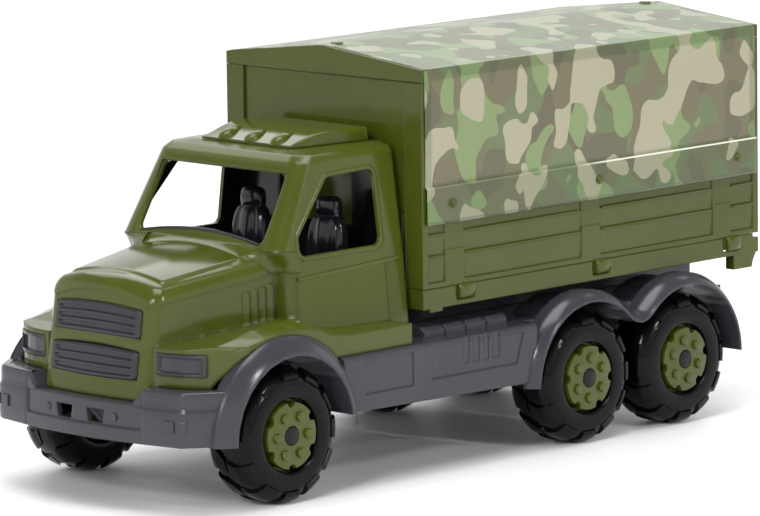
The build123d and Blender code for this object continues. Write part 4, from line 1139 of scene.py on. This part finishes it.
def seat_ring(x0, x1, half, z, groove):
    """One level of a seat: a rounded section with two grooves down its front."""
    ring = []
    for k in range(seat_steps):
        turn = 2 * pi * k / seat_steps
        across = half * abs(sin(turn)) ** 0.7 * (1 if sin(turn) > 0 else -1)
        ahead = (x1 - x0) / 2 * abs(cos(turn)) ** 0.7 * (1 if cos(turn) > 0 else -1)
        if ahead > 0:
            away = (abs(across) - groove_y * half) / (groove_width * half)
            ahead -= groove * exp(-away * away)
        ring.append(mm((x0 + x1) / 2 + ahead, seat_y + across, z))
    return ring


def make_seats():
    """Rounded bucket seats with a headrest."""
    low, high = (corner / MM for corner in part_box("seat_left"))
    rear, front, base = low.x, high.x, low.z
    half = (high.y - low.y) / 2 * seat_widening
    # each level: rear and front end, share of the half width, height, depth of the grooves
    back = [(0, 18, 0.9, base, 0.0), (0, 17, 1, 118, 1.5), (0, 16, 1, 135, 1.8), (0, 14.5, 0.98, 146, 1.8),
            (0.5, 13, 0.9, 153, 1.5), (1, 11.5, 0.76, 157, 0.8), (1.5, 10, 0.62, 158.6, 0.2),
            (1, 10.5, 0.6, 159.8, 0.0), (0.8, 11, 0.62, 163, 0.0), (1, 10.5, 0.58, 167.5, 0.0),
            (1.8, 9.5, 0.48, 169.6, 0.0), (3.4, 8, 0.3, high.z, 0.0)]
    # and here the front end is given from the seat's own front
    cushion = [(8, -2, 0.9, base, 0.0), (8, 0, 1, base + 2, 0.0), (8, 0, 1, 108.5, 0.0),
               (8.5, -1, 0.95, 111, 0.4), (10, -4, 0.8, 112, 0.4)]
    shape = join([filled_strip([seat_ring(rear + x0, end + x1, half * wide, z, groove)
                                for x0, x1, wide, z, groove in levels], -1, 1)
                  for levels, end in ((back, rear), (cushion, front))])
    for name, made in (("left", shape), ("right", mirror_points(shape))):
        thing = piece(f"seat_{name}_moulded", *made, "plastic_dark", "truck", radians(50))
        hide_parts(f"seat_{name}")


# name, lower and upper edge, how far each edge bows up
grille_table = [("upper", 102.5, 119.0, 0.4, 2.4), ("lower", 78.0, 94.5, -0.9, 1.4)]
grille_half = 37.5
grille_slots = 3
grille_gap = 1.5
grille_border = 3.6
grille_corner_r = 3.0
grille_proud = 1.5
grille_back = 3.2             # how far its rim reaches back
slot_depth = 1.4
mesh_pitch = 1.5
mesh_height = 0.15
grille_columns, grille_lines = 190, 44


def grille_height(y, v, low, high):
    """How far a point of a grille stands off the nose; v is its height on the unbowed grille."""
    pitch = (high - low - 2 * grille_gap) / grille_slots
    half = (pitch - grille_gap) / 2
    reach = grille_half - grille_border - half
    depth = 0.0
    for i in range(grille_slots):
        middle = low + grille_gap + pitch * (i + 0.5)
        away = hypot(max(abs(y) - reach, 0.0), v - middle) - half
        depth = max(depth, 1 - smooth_step(-0.55, 0.15, away))
    mesh = mesh_height * sin(y * 2 * pi / mesh_pitch) * sin(v * 2 * pi / mesh_pitch) if depth > 0.98 else 0.0
    past_y = max(abs(y) - (grille_half - grille_corner_r), 0.0)
    past_v = max(abs(v - (low + high) / 2) - ((high - low) / 2 - grille_corner_r), 0.0)
    edge = 1.2 * smooth_step(-1.1, 0.0, hypot(past_y, past_v) - grille_corner_r)
    return grille_proud - slot_depth * depth + mesh - edge


def make_grilles():
    """Bowed grilles with round-ended slots, fine mesh in the slots."""
    for name, low, high, bow_low, bow_high in grille_table:
        middle, half_h = (low + high) / 2, (high - low) / 2
        rows = []
        for i in range(grille_columns + 1):
            y = grille_half * (2 * i / grille_columns - 1)
            inner = max(abs(y) - (grille_half - grille_corner_r), 0.0)
            reach = half_h - grille_corner_r + sqrt(max(grille_corner_r ** 2 - inner * inner, 0.0))
            row = []
            for k in range(grille_lines + 1):
                v = middle + reach * (2 * k / grille_lines - 1)
                bow = between(bow_low, bow_high, (v - low) / (high - low))
                z = v + bow * (1 - (y / grille_half) ** 2)
                row.append(mm(nose_x(y, z) + grille_height(y, v, low, high), y, z))
            back = mm(grille_back, 0, 0)
            rows.append([row[0] - back] + row + [row[-1] - back])
        shape = ring_strip(rows, closed_ring=False)
        thing = piece(f"grille_{name}_moulded", *shape, "plastic_grey", "truck", radians(40), grille_plastic)
        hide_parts(f"grille_{name}")


cowl_x = 161.4
cowl_z = 149.2
cowl_half = 51.0
cowl_crown = 1.2
cowl_corner_y = 45.0          # from here out its upper edge falls off
cowl_corner_fall = 7.0
# from the windscreen down onto the hood: share of the way, place ahead
cowl_section = [(0.0, 0.0), (0.12, 0.9), (0.3, 2.4), (0.5, 4.6), (0.7, 7.8), (0.86, 11.8), (1.0, 17.0)]
cowl_steps = 60
shoulder_fall = 0.8
lip_half = 52.0
lip_z = 150.2
lip_crown = 4.6
lip_section = [(1.5, -1.0), (1.5, 0.9), (0.9, 1.3), (-0.9, 1.3), (-1.4, 0.7), (-1.4, -1.0)]


def hood_height(x, y):
    """The hood's top beside its raised panel."""
    share = (x - hood_rear[0]) / (hood_front[0] - hood_nose_r - hood_rear[0])
    half = between(hood_rear[1], hood_front[1], share)
    beyond = max(abs(y) - half + hood_shoulder, 0.0)
    return (between(hood_rear[2], hood_front[2], share) + hood_crown * (1 - (y / half) ** 2) + hood_lift
            - shoulder_fall * beyond ** 2 / (2 * hood_shoulder))


def make_cowl():
    """The hood's sweep up to the foot of the windscreen, and the dark lip of the dashboard behind it."""
    rows = []
    for share, ahead in cowl_section:
        row = []
        for i in range(cowl_steps + 1):
            y = cowl_half * (2 * i / cowl_steps - 1)
            foot_z = (cowl_z + cowl_crown * (1 - (y / cowl_half) ** 2)
                      - cowl_corner_fall * smooth_step(cowl_corner_y, cowl_half, abs(y)))
            hood_z = hood_height(cowl_x + ahead, y)
            rise = max(foot_z - hood_z, 0.0) * (1 - share) ** 1.8
            row.append(mm(cowl_x + ahead, y, hood_z + rise - 0.15 * share))
        rows.append(row)
    back = [Vector((p.x - 3.0 * MM, p.y, p.z - 0.5 * MM)) for p in rows[0]]
    points, faces = ring_strip([back] + rows, closed_ring=False)
    piece("cowl_sweep", points, faces, "plastic_green", "truck", radians(50))
    lip = []
    for i in range(cowl_steps + 1):
        y = lip_half * (2 * i / cowl_steps - 1)
        z = lip_z + lip_crown * (1 - (y / lip_half) ** 2)
        lip.append([mm(screen_x(z) - 1.2 + a, y, z + b) for a, b in lip_section])
    piece("dashboard_lip", *ring_strip(lip), "plastic_dark")


belt_front = (148.0, 130.2)
belt_rear = (61.0, belt_z)
belt_section = [(-1.2, -1.3), (0.25, -1.0), (0.55, 0.0), (0.25, 1.0), (-1.2, 1.3)]
belt_steps = 12


def make_belt():
    """A bead along the top of the doors."""
    bead = []
    for i in range(belt_steps + 1):
        x, z = (between(a, b, i / belt_steps) for a, b in zip(belt_front, belt_rear))
        y = side_y(max(z, belt_z)) + 0.9
        bead.append([mm(x, y + a, z + b) for a, b in belt_section])
    both_sides("belt_bead", *ring_strip(bead), "plastic_green", finish=green_fine)


make_arches()
make_grilles()
make_cowl()
make_belt()
make_bumper_flanks()
make_pillar_feet()
make_board_trim()
make_bumper_ends()
make_windscreen_brow()
make_fairing()
make_seats()
make_window_rims()
make_hood()
make_film_trim()
make_small_trim()
make_roof_bumps()


# ---------------------------------------------------------------- floor and light
floor_reach = 14.0


def soft_floor():
    """The pale floor under the truck."""
    finish = Finish("pale floor")
    material = finish.surface(Base_Color=(0.92, 0.92, 0.92, 1), Roughness=0.5, Specular_IOR_Level=0.3)
    corners = [(x * floor_reach, y * floor_reach, 0) for x, y in ((-1, -1), (1, -1), (1, 1), (-1, 1))]
    mesh = bpy.data.meshes.new("floor")
    mesh.from_pydata(corners, [], [(0, 1, 2, 3)])
    mesh.materials.append(material)
    floor = bpy.data.objects.new("floor", mesh)
    bpy.context.scene.collection.objects.link(floor)


soft_floor()

# name, place, size, watts, aim
light_table = [
    ("overhead", (0.2, 0.2, 2.4), 1.6, 42, (0, 0, 0.1)),
    ("backdrop", (-2.8, -2.8, 3.0), 4.5, 150, (-3.0, -3.0, 0)),
    ("key", (2.5, 0.9, 1.7), 0.42, 26, (0, 0, 0.1)),
    ("spark left", (3.0, 0.3, 1.5), 0.10, 10, (0, 0, 0.1)),
    ("spark right", (-0.4, 3.1, 1.3), 0.10, 10, (0, 0, 0.1)),
    ("side", (-0.2, 2.6, 1.8), 0.36, 17, (-0.1, 0, 0.1)),
]
horizon_light = 1.1      # the pale walls round the floor
ceiling_light = 0.27
horizon_top = 0.28       # how high the walls reach, as the sine of the angle above the level
ceiling_low = 0.55


def make_lights():
    """The area lights, and the walls and ceiling that the gloss mirrors."""
    for name, place, size, watts, aim in light_table:
        data = bpy.data.lights.new(name, "AREA")
        data.energy = watts
        data.size = size
        lamp = bpy.data.objects.new(name, data)
        lamp.location = place
        lamp.rotation_mode = "QUATERNION"
        lamp.rotation_quaternion = (Vector(aim) - Vector(place)).to_track_quat("-Z", "Y")
        bpy.context.scene.collection.objects.link(lamp)
    world = bpy.data.worlds.new("studio")
    world.use_nodes = True
    tree = world.node_tree
    background = tree.nodes["Background"]
    around = tree.nodes.new("ShaderNodeTexCoord")
    parts = tree.nodes.new("ShaderNodeSeparateXYZ")
    shade = tree.nodes.new("ShaderNodeMapRange")
    shade.interpolation_type = "SMOOTHSTEP"
    for key, level in (("From Min", horizon_top), ("From Max", ceiling_low), ("To Min", horizon_light),
                       ("To Max", ceiling_light)):
        shade.inputs[key].default_value = level
    tree.links.new(around.outputs["Generated"], parts.inputs[0])
    tree.links.new(parts.outputs[2], shade.inputs["Value"])
    tree.links.new(shade.outputs[0], background.inputs["Strength"])
    background.inputs["Color"].default_value = (1, 1, 1, 1)
    bpy.context.scene.world = world


make_lights()
